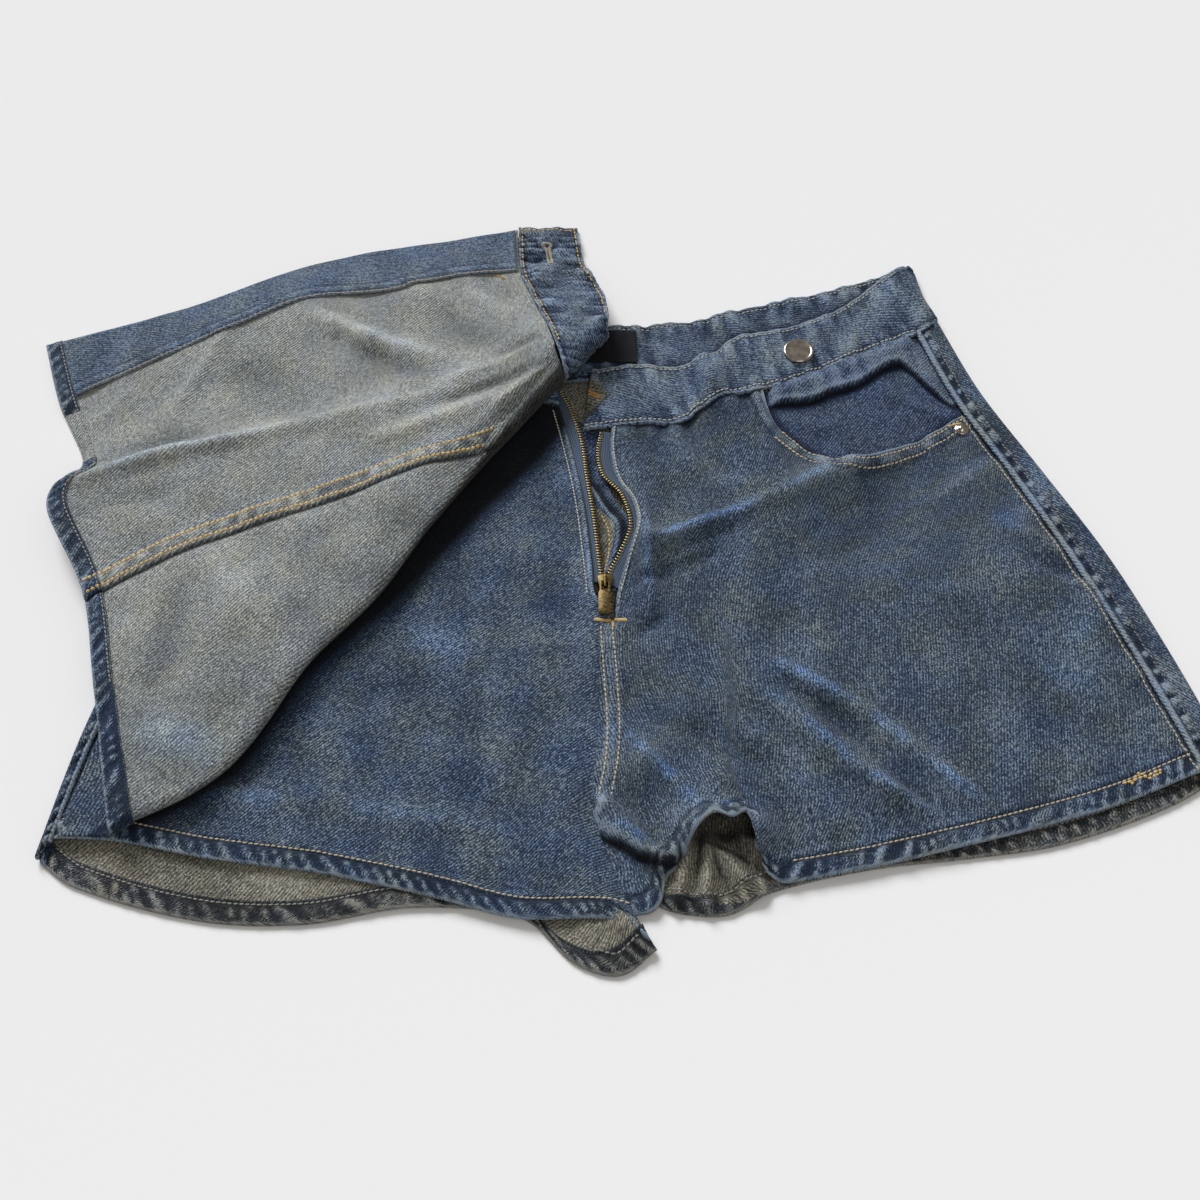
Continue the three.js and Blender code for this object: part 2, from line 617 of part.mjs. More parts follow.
const turned = (profile, sides) => {
  const points = profile.map(([r, z]) => new THREE.Vector2(r, z));
  return new THREE.LatheGeometry(points, sides).rotateX(Math.PI / 2);
};

// Shank button: a foot on the band, a neck and a flat cap with a rolled rim.
const buttonRadius = buttonDiameter / 2;
const button = add(
  "shank_button",
  turned([
    [0, 0], [0.55 * buttonRadius, 0], [0.55 * buttonRadius, 1.1], [0.93 * buttonRadius, 1.2],
    [buttonRadius, 2], [0.97 * buttonRadius, 2.8], [0.86 * buttonRadius, 3.1], [0.8 * buttonRadius, 2.8],
    [0, 2.8],
  ], 28),
  colours.button, 0.25, 1,
);
button.position.set(buttonAt.x, buttonAt.y, bandUnderside(buttonAt.x, buttonAt.y) + bandCloth + gap);

const rivetRadius = rivetDiameter / 2;
const rivetClear = 0.2;
const rivet = add(
  "pocket_rivet",
  turned([
    [0, 0], [rivetRadius, 0], [rivetRadius, 0.6], [0.6 * rivetRadius, 1.1], [0.35 * rivetRadius, 1.9], [0, 2],
  ], 16),
  colours.button, 0.35, 1,
);
rivet.position.set(rivetAt.x, rivetAt.y, frontUnderside(rivetAt.x, rivetAt.y) + cloth + gap + rivetClear);

// Waist label: a plain woven patch on the inside of the back waistband.
function waistLabel() {
  const corners = { low: [[-22, 175], [23, 174]], high: [[-22, 200], [23, 199]] };
  const thick = 0.6;
  const z = bandCloth + gap + thick / 2;
  const surface = (u, v) => [...mix(mix(...corners.low, u), mix(...corners.high, u), v), z];
  return add("waist_label", wall(surface, steps(0, 1, 2), [0, 1], thick), colours.label);
}
waistLabel();

// Zip slider: a tapered body that holds both chains, with a bridge over the pull's bar.
const slider = { length: 12, wide: 9, narrow: 6.5, thick: 3.2, z: 4.2 };
const bridge = { width: 1.6, reach: 4.2, inside: 3.2, height: 2.4, bar: 0.9 };
const pull = { wide: 8, length: 22, thick: 1.2, barHalf: 0.8, eyeHalf: 1.7, eyeEnd: 5.4 };
const hinge = new THREE.Vector3(sliderAt.x, sliderAt.y, slider.z + slider.thick + bridge.height / 2);

const extruded = (shape, depth) =>
  new THREE.ExtrudeGeometry(shape, { depth, bevelEnabled: false, curveSegments: 6 });
const outline = (points) => new THREE.Shape(points.map(([x, y]) => new THREE.Vector2(x, y)));

const wasm = await Module();
wasm.setup();

function solid(geometry) {
  const bare = geometry.clone();
  bare.deleteAttribute("normal");
  bare.deleteAttribute("uv");
  const merged = mergeVertices(bare, 1e-4);
  return new wasm.Manifold(new wasm.Mesh({
    numProp: 3,
    vertProperties: new Float32Array(merged.attributes.position.array),
    triVerts: new Uint32Array(merged.index.array),
  }));
}

function joined(...geometries) {
  const { vertProperties, triVerts } = geometries.map(solid).reduce((all, one) => all.add(one)).getMesh();
  const geometry = new THREE.BufferGeometry();
  geometry.setAttribute("position", new THREE.BufferAttribute(vertProperties, 3));
  geometry.setIndex(new THREE.BufferAttribute(triVerts, 1));
  geometry.computeVertexNormals();
  return geometry;
}

function zipSlider() {
  const { length, wide, narrow, thick } = slider;
  const half = length / 2;
  const body = extruded(outline([
    [-narrow / 2 + 1, -half], [narrow / 2 - 1, -half], [narrow / 2, -half + 1.2], [narrow / 2 + 0.4, -1],
    [wide / 2, 1.5], [wide / 2, half - 1], [wide / 2 - 1, half], [-wide / 2 + 1, half], [-wide / 2, half - 1],
    [-wide / 2, 1.5], [-narrow / 2 - 0.4, -1], [-narrow / 2, -half + 1.2],
  ]), thick);
  const { width, reach, inside, height, bar } = bridge;
  const side = outline([
    [-reach, -0.5], [-inside, -0.5], [-inside, height], [inside, height], [inside, -0.5], [reach, -0.5],
    [reach, height + 0.4], [reach - 0.5, height + bar], [-reach + 0.5, height + bar], [-reach, height + 0.4],
  ]);
  const arch = extruded(side, width).translate(0, 0, -width / 2).rotateY(Math.PI / 2).rotateX(Math.PI / 2);
  arch.translate(0, 0, thick);
  const mesh = add("zip_slider", joined(body, arch), colours.brass, 0.3, 1);
  mesh.position.set(sliderAt.x, sliderAt.y, slider.z);
}

function zipPull() {
  const { wide, length, thick, barHalf, eyeHalf, eyeEnd } = pull;
  const shape = outline([
    [-3, barHalf], [-3.2, -eyeEnd - 0.5], [-wide / 2, -eyeEnd - 2.5], [-wide / 2, -length + 1.5],
    [-wide / 2 + 1.5, -length], [wide / 2 - 1.5, -length], [wide / 2, -length + 1.5],
    [wide / 2, -eyeEnd - 2.5], [3.2, -eyeEnd - 0.5], [3, barHalf],
  ]);
  shape.holes.push(new THREE.Path([
    [-eyeHalf, -barHalf], [eyeHalf, -barHalf], [eyeHalf, -eyeEnd], [-eyeHalf, -eyeEnd],
  ].map(([x, y]) => new THREE.Vector2(x, y))));
  const mesh = add("zip_pull", extruded(shape, thick).translate(0, 0, -thick / 2), colours.brass, 0.3, 1);
  mesh.position.copy(hinge);
}
zipSlider();
zipPull();

// The origin is on the ground, under the middle of the whole garment.
const box = new THREE.Box3().setFromObject(garment);
garment.position.set(-(box.min.x + box.max.x) / 2, -(box.min.y + box.max.y) / 2, -box.min.z);
garment.updateMatrixWorld(true);

export default garment;
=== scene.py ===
import math

import bmesh
import bpy
import numpy as np
from mathutils import Matrix, Vector
from mathutils.bvhtree import BVHTree


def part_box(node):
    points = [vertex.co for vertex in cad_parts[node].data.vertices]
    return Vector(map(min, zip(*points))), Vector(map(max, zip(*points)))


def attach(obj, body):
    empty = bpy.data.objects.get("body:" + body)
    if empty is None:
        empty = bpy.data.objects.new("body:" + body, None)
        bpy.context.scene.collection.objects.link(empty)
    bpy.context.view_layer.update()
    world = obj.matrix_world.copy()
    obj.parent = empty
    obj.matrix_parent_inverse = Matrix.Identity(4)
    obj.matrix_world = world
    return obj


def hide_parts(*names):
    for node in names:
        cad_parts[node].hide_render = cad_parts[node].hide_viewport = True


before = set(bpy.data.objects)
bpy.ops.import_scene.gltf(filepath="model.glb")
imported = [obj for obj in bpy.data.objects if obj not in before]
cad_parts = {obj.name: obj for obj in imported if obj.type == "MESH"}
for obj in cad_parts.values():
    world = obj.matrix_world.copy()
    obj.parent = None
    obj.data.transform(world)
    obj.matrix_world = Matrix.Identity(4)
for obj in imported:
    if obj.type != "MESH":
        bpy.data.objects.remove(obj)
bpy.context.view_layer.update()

# Tables and sizes are in millimetres, about a point of the table top. The button says where in the frame it is.
mm = 0.001
buttonAt = (124, 180)
rivetAt = (219, 119)
buttonLow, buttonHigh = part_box("shank_button")
tableOrigin = np.array([
    (buttonLow.x + buttonHigh.x) / 2 - mm * buttonAt[0],
    (buttonLow.y + buttonHigh.y) / 2 - mm * buttonAt[1],
    0.0,
])
print("frame loaded, table origin", tableOrigin)

# Thicknesses of cloth, radius of the rolled side edge, width of a waistband, and height of the fronts.
cloth = 1.2
hemCloth = 2.4
bandCloth = 2.8
sideRoll = 2.7
bandWidth = 38
frontRest = 3.2
sideTop = 2 * sideRoll + cloth


def metres(points):
    return tableOrigin + mm * np.asarray(points)


def smooth(x):
    x = np.clip(x, 0, 1)
    return x * x * (3 - 2 * x)


def bell(x, width):
    return np.exp(-(x / width) ** 2)


def mix(a, b, t):
    return a + (b - a) * t


def raised(plan, z):
    # places in plan with their heights
    return np.concatenate([plan, np.broadcast_to(z, plan.shape[:-1])[..., None]], axis=-1)


def backwards(*grids):
    # a grid and its values in the other order, which turns its faces over
    return [grid[::-1] for grid in grids]


def softNoise(x, y, size, seed):
    # gentle unevenness of about one size, mostly from -1 to 1
    waves = 8
    chance = np.random.default_rng(seed)
    total = np.zeros(np.broadcast(x, y).shape)
    for _ in range(waves):
        angle = chance.uniform(0, math.pi)
        rate = 2 * math.pi / (size * chance.uniform(0.7, 1.6))
        phase = chance.uniform(0, 2 * math.pi)
        total = total + np.sin(rate * (x * math.cos(angle) + y * math.sin(angle)) + phase)
    return total * 0.75 / math.sqrt(waves / 2)


def lengthAlong(line):
    # distance along a line at each of its points
    return np.concatenate([[0], np.cumsum(np.linalg.norm(np.diff(line, axis=0), axis=1))])


def curve(points):
    # a smooth curve through a few points, t from 0 to 1 along its length
    points = np.array(points, float)
    at = lengthAlong(points)
    last = len(points) - 1
    before = np.maximum(np.arange(last + 1) - 1, 0)
    after = np.minimum(np.arange(last + 1) + 1, last)
    slopes = (points[after] - points[before]) / (at[after] - at[before])[:, None]

    def place(t):
        s = np.clip(np.asarray(t, float), 0, 1) * at[-1]
        i = np.clip(np.searchsorted(at, s, side="right") - 1, 0, last - 1)
        span = (at[i + 1] - at[i])[..., None]
        u = (s - at[i])[..., None] / span
        return (
            (1 + 2 * u) * (1 - u) ** 2 * points[i] + u * (1 - u) ** 2 * span * slopes[i]
            + u * u * (3 - 2 * u) * points[i + 1] + u * u * (u - 1) * span * slopes[i + 1]
        )

    return place


def drawn(points, count):
    # a few points as an even line of many
    return curve(points)(np.linspace(0, 1, count))


def throughFour(p0, p1, p2, p3, u):
    # the smooth curve from p1 to p2, between two more points
    return p1 + 0.5 * u * (p2 - p0 + u * (2 * p0 - 5 * p1 + 4 * p2 - p3 + u * (3 * (p1 - p2) + p3 - p0)))


def rowCurve(rows):
    # a smooth curve through table rows, where t counts evenly from the first row to the last
    rows = np.array(rows, float)
    last = len(rows) - 1
    rows = np.vstack([2 * rows[0] - rows[1], rows, 2 * rows[-1] - rows[-2]])

    def place(t):
        s = np.clip(np.asarray(t, float), 0, 1) * last
        i = np.minimum(np.floor(s).astype(int), last - 1)
        return throughFour(rows[i], rows[i + 1], rows[i + 2], rows[i + 3], (s - i)[..., None])

    return place


def patch(hem, top, side, inner):
    # plan position inside four edge curves: hem and top run from side to inner, the others from hem to top
    def place(u, v):
        h, t, s, n = hem(u), top(u), side(v), inner(v)
        zero, one = np.zeros_like(u), np.ones_like(u)
        h0, h1, t0, t1 = hem(zero), hem(one), top(zero), top(one)
        u, v = u[..., None], v[..., None]
        return (
            (1 - v) * h + v * t + (1 - u) * s + u * n
            - (1 - u) * ((1 - v) * h0 + v * t0) - u * ((1 - v) * h1 + v * t1)
        )

    return place


def spacing(length, coarse, fine=None, bands=()):
    # places along a length, closer together inside the bands
    places = [0.0]
    while places[-1] < length:
        here = places[-1]
        near = any(low <= here <= high for low, high in bands)
        places.append(here + (fine if near else coarse))
    return np.array(places) * (length / places[-1])


def foldHeight(folds, x, y):
    # the height that soft ridges and troughs add at a place in plan, thinning out towards their ends
    total = np.zeros(np.shape(x))
    for ax, ay, bx, by, width, height, taper in folds:
        dx, dy = bx - ax, by - ay
        t = np.clip(((x - ax) * dx + (y - ay) * dy) / (dx * dx + dy * dy), 0, 1)
        away = np.hypot(x - ax - t * dx, y - ay - t * dy) / width
        ends = 1 - taper * (2 * t - 1) ** 2
        total = total + height * ends * np.exp(-away * away)
    return total


def gridNormals(points):
    normal = np.cross(np.gradient(points, axis=0), np.gradient(points, axis=1))
    return normal / np.maximum(np.linalg.norm(normal, axis=2, keepdims=True), 1e-9)


def upNormals(points, part=slice(None)):
    # normals of a grid, turned so that those of one part of it point up
    normal = gridNormals(points)
    return normal * np.sign(normal[part, :, 2].mean())


def placesOn(marks, at, line):
    # points of a line, by marks of length; "at" is the length at each of its own points
    return np.column_stack([np.interp(marks, at, line[:, axis]) for axis in range(line.shape[1])])


def runs(points, axis, anchor=0):
    # distance along the grid's lines, from one of its edges
    steps = np.linalg.norm(np.diff(points, axis=axis), axis=2)
    start = np.zeros_like(np.take(steps, [0], axis=axis))
    total = np.concatenate([start, np.cumsum(steps, axis=axis)], axis=axis)
    return total - np.take(total, [anchor], axis=axis)


def lineAway(points, line):
    # shortest distance in plan from each point to a line, how far along the line it is, and on which side
    line = np.asarray(line)[:, :2]
    step = np.diff(line, axis=0)
    length = np.linalg.norm(step, axis=1)
    start = np.concatenate([[0], np.cumsum(length)])
    best = np.full(points.shape[:-1], 1e9)
    along, left = np.zeros(points.shape[:-1]), np.zeros(points.shape[:-1])
    for i in range(len(step)):
        offset = points[..., :2] - line[i]
        t = np.clip((offset @ step[i]) / max(length[i] ** 2, 1e-9), 0, 1)
        away = np.linalg.norm(offset - t[..., None] * step[i], axis=-1)
        closer = away < best
        best = np.where(closer, away, best)
        along = np.where(closer, start[i] + t * length[i], along)
        left = np.where(closer, np.sign(step[i][0] * offset[..., 1] - step[i][1] * offset[..., 0]), left)
    return best, along, left


# Camera, looking along +Y and down on the table.
camera = {"elevation": 57, "distance": 0.950, "lens": 50.0}
cameraData = bpy.data.cameras.new("camera")
cameraData.lens = camera["lens"]
cameraData.sensor_width = 36
cameraData.clip_start = 0.01
cameraObject = bpy.data.objects.new("camera", cameraData)
tilt = math.radians(camera["elevation"])
cameraObject.location = Vector(tableOrigin) + camera["distance"] * Vector((0, -math.cos(tilt), math.sin(tilt)))
cameraObject.rotation_euler = (math.pi / 2 - tilt, 0, 0)
bpy.context.scene.collection.objects.link(cameraObject)
bpy.context.scene.camera = cameraObject


# Materials.
def setSockets(tree, node, sockets):
    # each input, by name or number, takes a value or the output of another node
    for key, value in sockets.items():
        if isinstance(value, bpy.types.NodeSocket):
            tree.links.new(value, node.inputs[key])
        else:
            node.inputs[key].default_value = value


def addNode(tree, kind, sockets=None, **settings):
    node = tree.nodes.new(kind)
    for key, value in settings.items():
        setattr(node, key, value)
    setSockets(tree, node, sockets or {})
    return node


def newMaterial(name):
    material = bpy.data.materials.new(name)
    material.use_nodes = True
    tree = material.node_tree
    return material, tree, next(node for node in tree.nodes if node.type == "BSDF_PRINCIPLED")


def mathNode(tree, operation, a, b, clamp=False):
    return addNode(tree, "ShaderNodeMath", {0: a, 1: b}, operation=operation, use_clamp=clamp).outputs[0]


def noiseNode(tree, place, scale, detail, roughness=0.5):
    return addNode(tree, "ShaderNodeTexNoise", {
        "Vector": place, "Scale": scale, "Detail": detail, "Roughness": roughness}).outputs["Fac"]


# A wave node's bands lie this many metres apart at scale 1.
waveRate = 0.314


def bandsNode(tree, place, pitch, distortion, **more):
    return addNode(tree, "ShaderNodeTexWave", {
        "Vector": place, "Scale": waveRate / pitch, "Distortion": distortion, "Detail": 1.0, **more,
    }, wave_type="BANDS", bands_direction="X").outputs["Fac"]


def rampNode(tree, amount, stops):
    # stops: position and colour, lowest first
    node = addNode(tree, "ShaderNodeValToRGB", {"Fac": amount})
    elements = node.color_ramp.elements
    elements[0].position, elements[1].position = stops[0][0], stops[-1][0]
    for position, _ in stops[1:-1]:
        elements.new(position)
    for element, (_, colour) in zip(elements, stops):
        element.color = (*colour, 1)
    return node.outputs["Color"]


def multiplied(tree, amount, colour, by):
    return addNode(tree, "ShaderNodeMix", {"Factor": amount, "A": colour, "B": by},
                   data_type="RGBA", blend_type="MULTIPLY", clamp_factor=True).outputs["Result"]


def rangeNode(tree, amount, low, high):
    return addNode(tree, "ShaderNodeMapRange", {
        "Value": amount, "To Min": low, "To Max": high}).outputs["Result"]


def bumpNode(tree, height, strength, distance):
    return addNode(tree, "ShaderNodeBump", {
        "Strength": strength, "Distance": distance, "Height": height}).outputs["Normal"]


def denim(name, look):
    # twill: slanting rows of pale weft dots on blue warp, a speckle, a cloudy wash, pale worn places with painted
    # light and shade, a painted blue highlight where the crest attribute is over zero, painted shade where under
    material, tree, shader = newMaterial(name)
    weave = addNode(tree, "ShaderNodeUVMap", uv_map="weave").outputs["UV"]
    wearAndShadeInput = addNode(tree, "ShaderNodeAttribute", attribute_name="wearAndShade").outputs["Fac"]
    crest = addNode(tree, "ShaderNodeAttribute", attribute_name="crest").outputs["Fac"]
    turned = addNode(tree, "ShaderNodeMapping", {
        "Vector": weave, "Rotation": (0, 0, math.radians(look["slant"]))}).outputs[0]
    twill = bandsNode(tree, turned, look["pitch"], 1.6, **{"Detail Scale": 3.0})

    def cells(scale, stretch):
        drawn = addNode(tree, "ShaderNodeMapping", {"Vector": turned, "Scale": (1, stretch, 1)}).outputs[0]
        dots = addNode(tree, "ShaderNodeTexVoronoi", {"Vector": drawn, "Scale": scale},
                       voronoi_dimensions="2D", feature="F1").outputs["Color"]
        return addNode(tree, "ShaderNodeSeparateColor", {"Color": dots}).outputs[0]

    floats, grains = cells(1900.0, 0.6), cells(1150.0, 0.8)
    slub, wash, hue = (noiseNode(tree, weave, *size, 0.6) for size in ((130.0, 2.0), (24.0, 3.0), (34.0, 3.0)))
    amount = look["level"]
    for key, output in {"twill": twill, "floats": floats, "grains": grains, "slub": slub, "wash": wash}.items():
        spread = mathNode(tree, "MULTIPLY", mathNode(tree, "SUBTRACT", output, 0.5), look[key])
        amount = mathNode(tree, "ADD", amount, spread)
    # the wear-and-shade attribute lightens worn places and painted highlights, and darkens painted shade
    amount = mathNode(tree, "ADD", amount, mathNode(tree, "MULTIPLY", wearAndShadeInput, look["wearAndShade"]), clamp=True)

    colour = rampNode(tree, amount, [(0, look["dark"]), (0.5, look["mid"]), (1, look["light"])])
    tint = rampNode(tree, hue, [(0.38, look["warmTint"]), (0.62, look["coolTint"])])
    colour = multiplied(tree, 1, colour, tint)
    # crest over zero multiplies in a painted blue highlight, crest under zero a painted shade
    for sign, tint in ((1.0, look["crestHighlightTint"]), (-1.0, paintedShadeTint)):
        colour = multiplied(tree, mathNode(tree, "MULTIPLY", crest, sign, clamp=True), colour, (*tint, 1))
    setSockets(tree, shader, {
        "Base Color": colour, "Roughness": rangeNode(tree, grains, 0.8, 0.96), "Specular IOR Level": 0.15,
        "Normal": bumpNode(tree, mathNode(tree, "ADD", twill, floats), 0.6, 0.0004),
        "Sheen Weight": 0.08, "Sheen Roughness": 0.5})
    return material


# colour of painted shade, multiplied in where the crest attribute is under zero
paintedShadeTint = (0.16, 0.15, 0.15)
faceLook = {
    "slant": 35, "pitch": 0.0016, "level": 0.43, "twill": 0.42, "floats": 0.80, "grains": 0.22, "slub": 0.05,
    "wash": 0.06, "wearAndShade": 0.5,
    "dark": (0.0085, 0.0155, 0.034), "mid": (0.036, 0.061, 0.103), "light": (0.225, 0.275, 0.325),
    "warmTint": (1.05, 1.0, 0.88), "coolTint": (0.92, 0.99, 1.12), "crestHighlightTint": (1.14, 1.5, 2.1),
}
reverseLook = {
    "slant": -17, "pitch": 0.0018, "level": 0.50, "twill": 0.42, "floats": 0.70, "grains": 0.2, "slub": 0.06,
    "wash": 0.07, "wearAndShade": 0.44,
    "dark": (0.055, 0.066, 0.078), "mid": (0.215, 0.232, 0.222), "light": (0.52, 0.53, 0.49),
    "warmTint": (1.015, 1.0, 0.95), "coolTint": (0.97, 0.99, 1.06), "crestHighlightTint": (1.05, 1.2, 1.45),
}
faceDenim = denim("denimFace", faceLook)
rightDenim = denim("denimFaceRight", {**faceLook, "slant": 25, "level": 0.43, "mid": (0.041, 0.064, 0.097)})
facingDenim = denim("denimFacing", {
    **faceLook, "level": 0.50, "mid": (0.060, 0.092, 0.150), "wearAndShade": 0.5, "slant": 20,
    "coolTint": (0.92, 0.98, 1.1), "warmTint": (1.02, 1.0, 0.9),
})
pocketDenim = denim("denimPocket", {
    **faceLook, "level": 0.40, "dark": (0.008, 0.015, 0.035), "mid": (0.034, 0.056, 0.105), "wash": 0.1,
    "light": (0.18, 0.22, 0.27), "warmTint": (0.97, 1.0, 0.96), "coolTint": (0.92, 0.98, 1.14),
})
reverseDenim = denim("denimReverse", reverseLook)
# a darker, greyer copy of the face denim: painted shade on the back legs' turned hems
shadedFaceDenim = denim("denimFaceShaded", {
    **faceLook, "level": 0.42, "slant": -30, "mid": (0.050, 0.058, 0.066), "light": (0.24, 0.24, 0.225),
    "dark": (0.012, 0.014, 0.018), "coolTint": (0.98, 1.0, 1.05), "wearAndShade": 0.5,
})
# a darker, warmer copy of the reverse denim: painted shade on the insides and undersides of the pieces
shadedReverseDenim = denim("denimReverseShaded", {
    **reverseLook, "level": 0.46, "slant": 30, "dark": (0.040, 0.040, 0.036), "mid": (0.165, 0.160, 0.132),
    "light": (0.42, 0.40, 0.33), "coolTint": (0.98, 1.0, 1.02),
})


def thread(name, colour, dark):
    # spun sewing thread: two tones twisted round each stitch
    material, tree, shader = newMaterial(name)
    ply = noiseNode(tree, addNode(tree, "ShaderNodeTexCoord").outputs["Object"], 1400.0, 2.0, 0.6)
    setSockets(tree, shader, {
        "Base Color": rampNode(tree, ply, [(0.35, dark), (0.6, colour)]), "Roughness": 0.62, "Sheen Weight": 0.1,
        "Normal": bumpNode(tree, ply, 0.4, 0.0002)})
    return material


threadTones = {
    "Tan": ((0.56, 0.48, 0.34), (0.30, 0.25, 0.16)),
    "Gold": ((0.64, 0.45, 0.17), (0.38, 0.25, 0.09)),
    "Grey": ((0.30, 0.29, 0.25), (0.12, 0.12, 0.11)),
    "Orange": ((0.50, 0.27, 0.07), (0.24, 0.12, 0.03)),
    "Beige": ((0.46, 0.42, 0.33), (0.22, 0.2, 0.15)),
    "Pale": ((0.55, 0.55, 0.48), (0.28, 0.29, 0.27)),
}


def metal(name, look):
    # worn metal: fine scratches, dull patches and a darker tarnish
    material, tree, shader = newMaterial(name)
    place = addNode(tree, "ShaderNodeTexCoord").outputs["Object"]
    patches = noiseNode(tree, place, look["patch"], 4.0, 0.6)
    setSockets(tree, shader, {
        "Base Color": rampNode(tree, patches, [(0.35, look["dark"]), (0.62, look["colour"])]), "Metallic": 1,
        "Roughness": rangeNode(tree, patches, look["smooth"], look["rough"]),
        "Normal": bumpNode(tree, noiseNode(tree, place, 2500.0, 2.0), look["grain"], 0.00005)})
    return material


buttonMetal = metal("buttonMetal", {
    "colour": (0.46, 0.41, 0.35), "dark": (0.30, 0.26, 0.21), "patch": 220.0, "smooth": 0.12, "rough": 0.26,
    "grain": 0.1})
brass = metal("zipBrass", {
    "colour": (0.165, 0.118, 0.05), "dark": (0.04, 0.029, 0.014), "patch": 600.0, "smooth": 0.3, "rough": 0.55,
    "grain": 0.3})
teethBrass = metal("zipTeethBrass", {
    "colour": (0.44, 0.35, 0.19), "dark": (0.13, 0.10, 0.05), "patch": 1200.0, "smooth": 0.25, "rough": 0.5,
    "grain": 0.2})


def wovenCloth(name, colour, dark, ribs, rough):
    # close flat weave with ribs along its length
    material, tree, shader = newMaterial(name)
    weave = addNode(tree, "ShaderNodeUVMap", uv_map="weave").outputs["UV"]
    fuzz = noiseNode(tree, weave, 1200.0, 3.0)
    amount = mathNode(tree, "MULTIPLY", mathNode(tree, "ADD", bandsNode(tree, weave, ribs, 1.0), fuzz), 0.5)
    setSockets(tree, shader, {
        "Base Color": rampNode(tree, amount, [(0.3, dark), (0.7, colour)]), "Roughness": rough,
        "Specular IOR Level": 0.15, "Normal": bumpNode(tree, amount, 0.5, 0.0003)})
    return material


tapeCloth = wovenCloth("zipTape", (0.095, 0.13, 0.185), (0.04, 0.058, 0.092), 0.0011, 0.85)
labelSatin = wovenCloth("labelSatin", (0.012, 0.012, 0.015), (0.005, 0.005, 0.007), 0.0005, 0.75)
print("materials ready")


def newPiece(name, bm, materials):
    mesh = bpy.data.meshes.new(name)
    bm.to_mesh(mesh)
    bm.free()
    for material in materials:
        mesh.materials.append(material)
    piece = bpy.data.objects.new(name, mesh)
    bpy.context.scene.collection.objects.link(piece)
    return piece


# Cloth pieces start as one grid, whose points are then set where the cloth lies.
def makeCloth(name, points, weave, wearAndShade, thickness, materials, bevel=0, crest=0, zone=None):
    across, along = points.shape[:2]
    bm = bmesh.new()
    bmesh.ops.create_grid(bm, x_segments=across - 1, y_segments=along - 1, size=1)
    piece = newPiece(name, bm, materials)
    mesh = piece.data
    place = np.empty(len(mesh.vertices) * 3)
    mesh.vertices.foreach_get("co", place)
    place = place.reshape(-1, 3)
    i = np.rint((place[:, 0] + 1) / 2 * (across - 1)).astype(int)
    j = np.rint((place[:, 1] + 1) / 2 * (along - 1)).astype(int)
    mesh.vertices.foreach_set("co", metres(points[i, j]).ravel())
    corner = np.empty(len(mesh.loops), np.int32)
    mesh.loops.foreach_get("vertex_index", corner)
    layer = mesh.uv_layers.new(name="weave")
    layer.data.foreach_set("uv", (mm * weave[i[corner], j[corner]]).ravel())
    # wear-and-shade: worn places, plus painted shade in grooves, under edges and in troughs and painted highlight
    # on ridges; crest: painted highlight over zero, painted shade under zero
    for layerName, values in (("wearAndShade", wearAndShade), ("crest", np.broadcast_to(crest, wearAndShade.shape))):
        attribute = mesh.attributes.new(layerName, "FLOAT", "POINT")
        attribute.data.foreach_set("value", np.clip(values, -1.5, 1.5)[i, j].astype(np.float32))
    mesh.polygons.foreach_set("use_smooth", np.ones(len(mesh.polygons), bool))
    if zone is not None:
        mesh.polygons.foreach_set("material_index", zone[i, j][corner[::4]].astype(np.int32))
    wall = piece.modifiers.new("wall", "SOLIDIFY")
    wall.thickness = mm * thickness
    wall.offset = 0
    wall.material_offset = min(len(materials) - 1, 1)
    if bevel:
        rounding = piece.modifiers.new("rounding", "BEVEL")
        rounding.width = mm * bevel
        rounding.segments = 2
        rounding.limit_method = "ANGLE"
        rounding.angle_limit = math.radians(50)
    return piece


def meshPiece(name, bm, material, node=None, body="garment"):
    # a solid piece; where it stands for a CAD node, that node is hidden
    piece = newPiece(name, bm, [material])
    piece.data.polygons.foreach_set("use_smooth", np.ones(len(piece.data.polygons), bool))
    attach(piece, body)
    if node:
        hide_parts(node)


hemFold = {"radius": 0.62, "depth": 12.5, "stitch": 10.6, "pitch": 9.0, "ripple": 1.75}


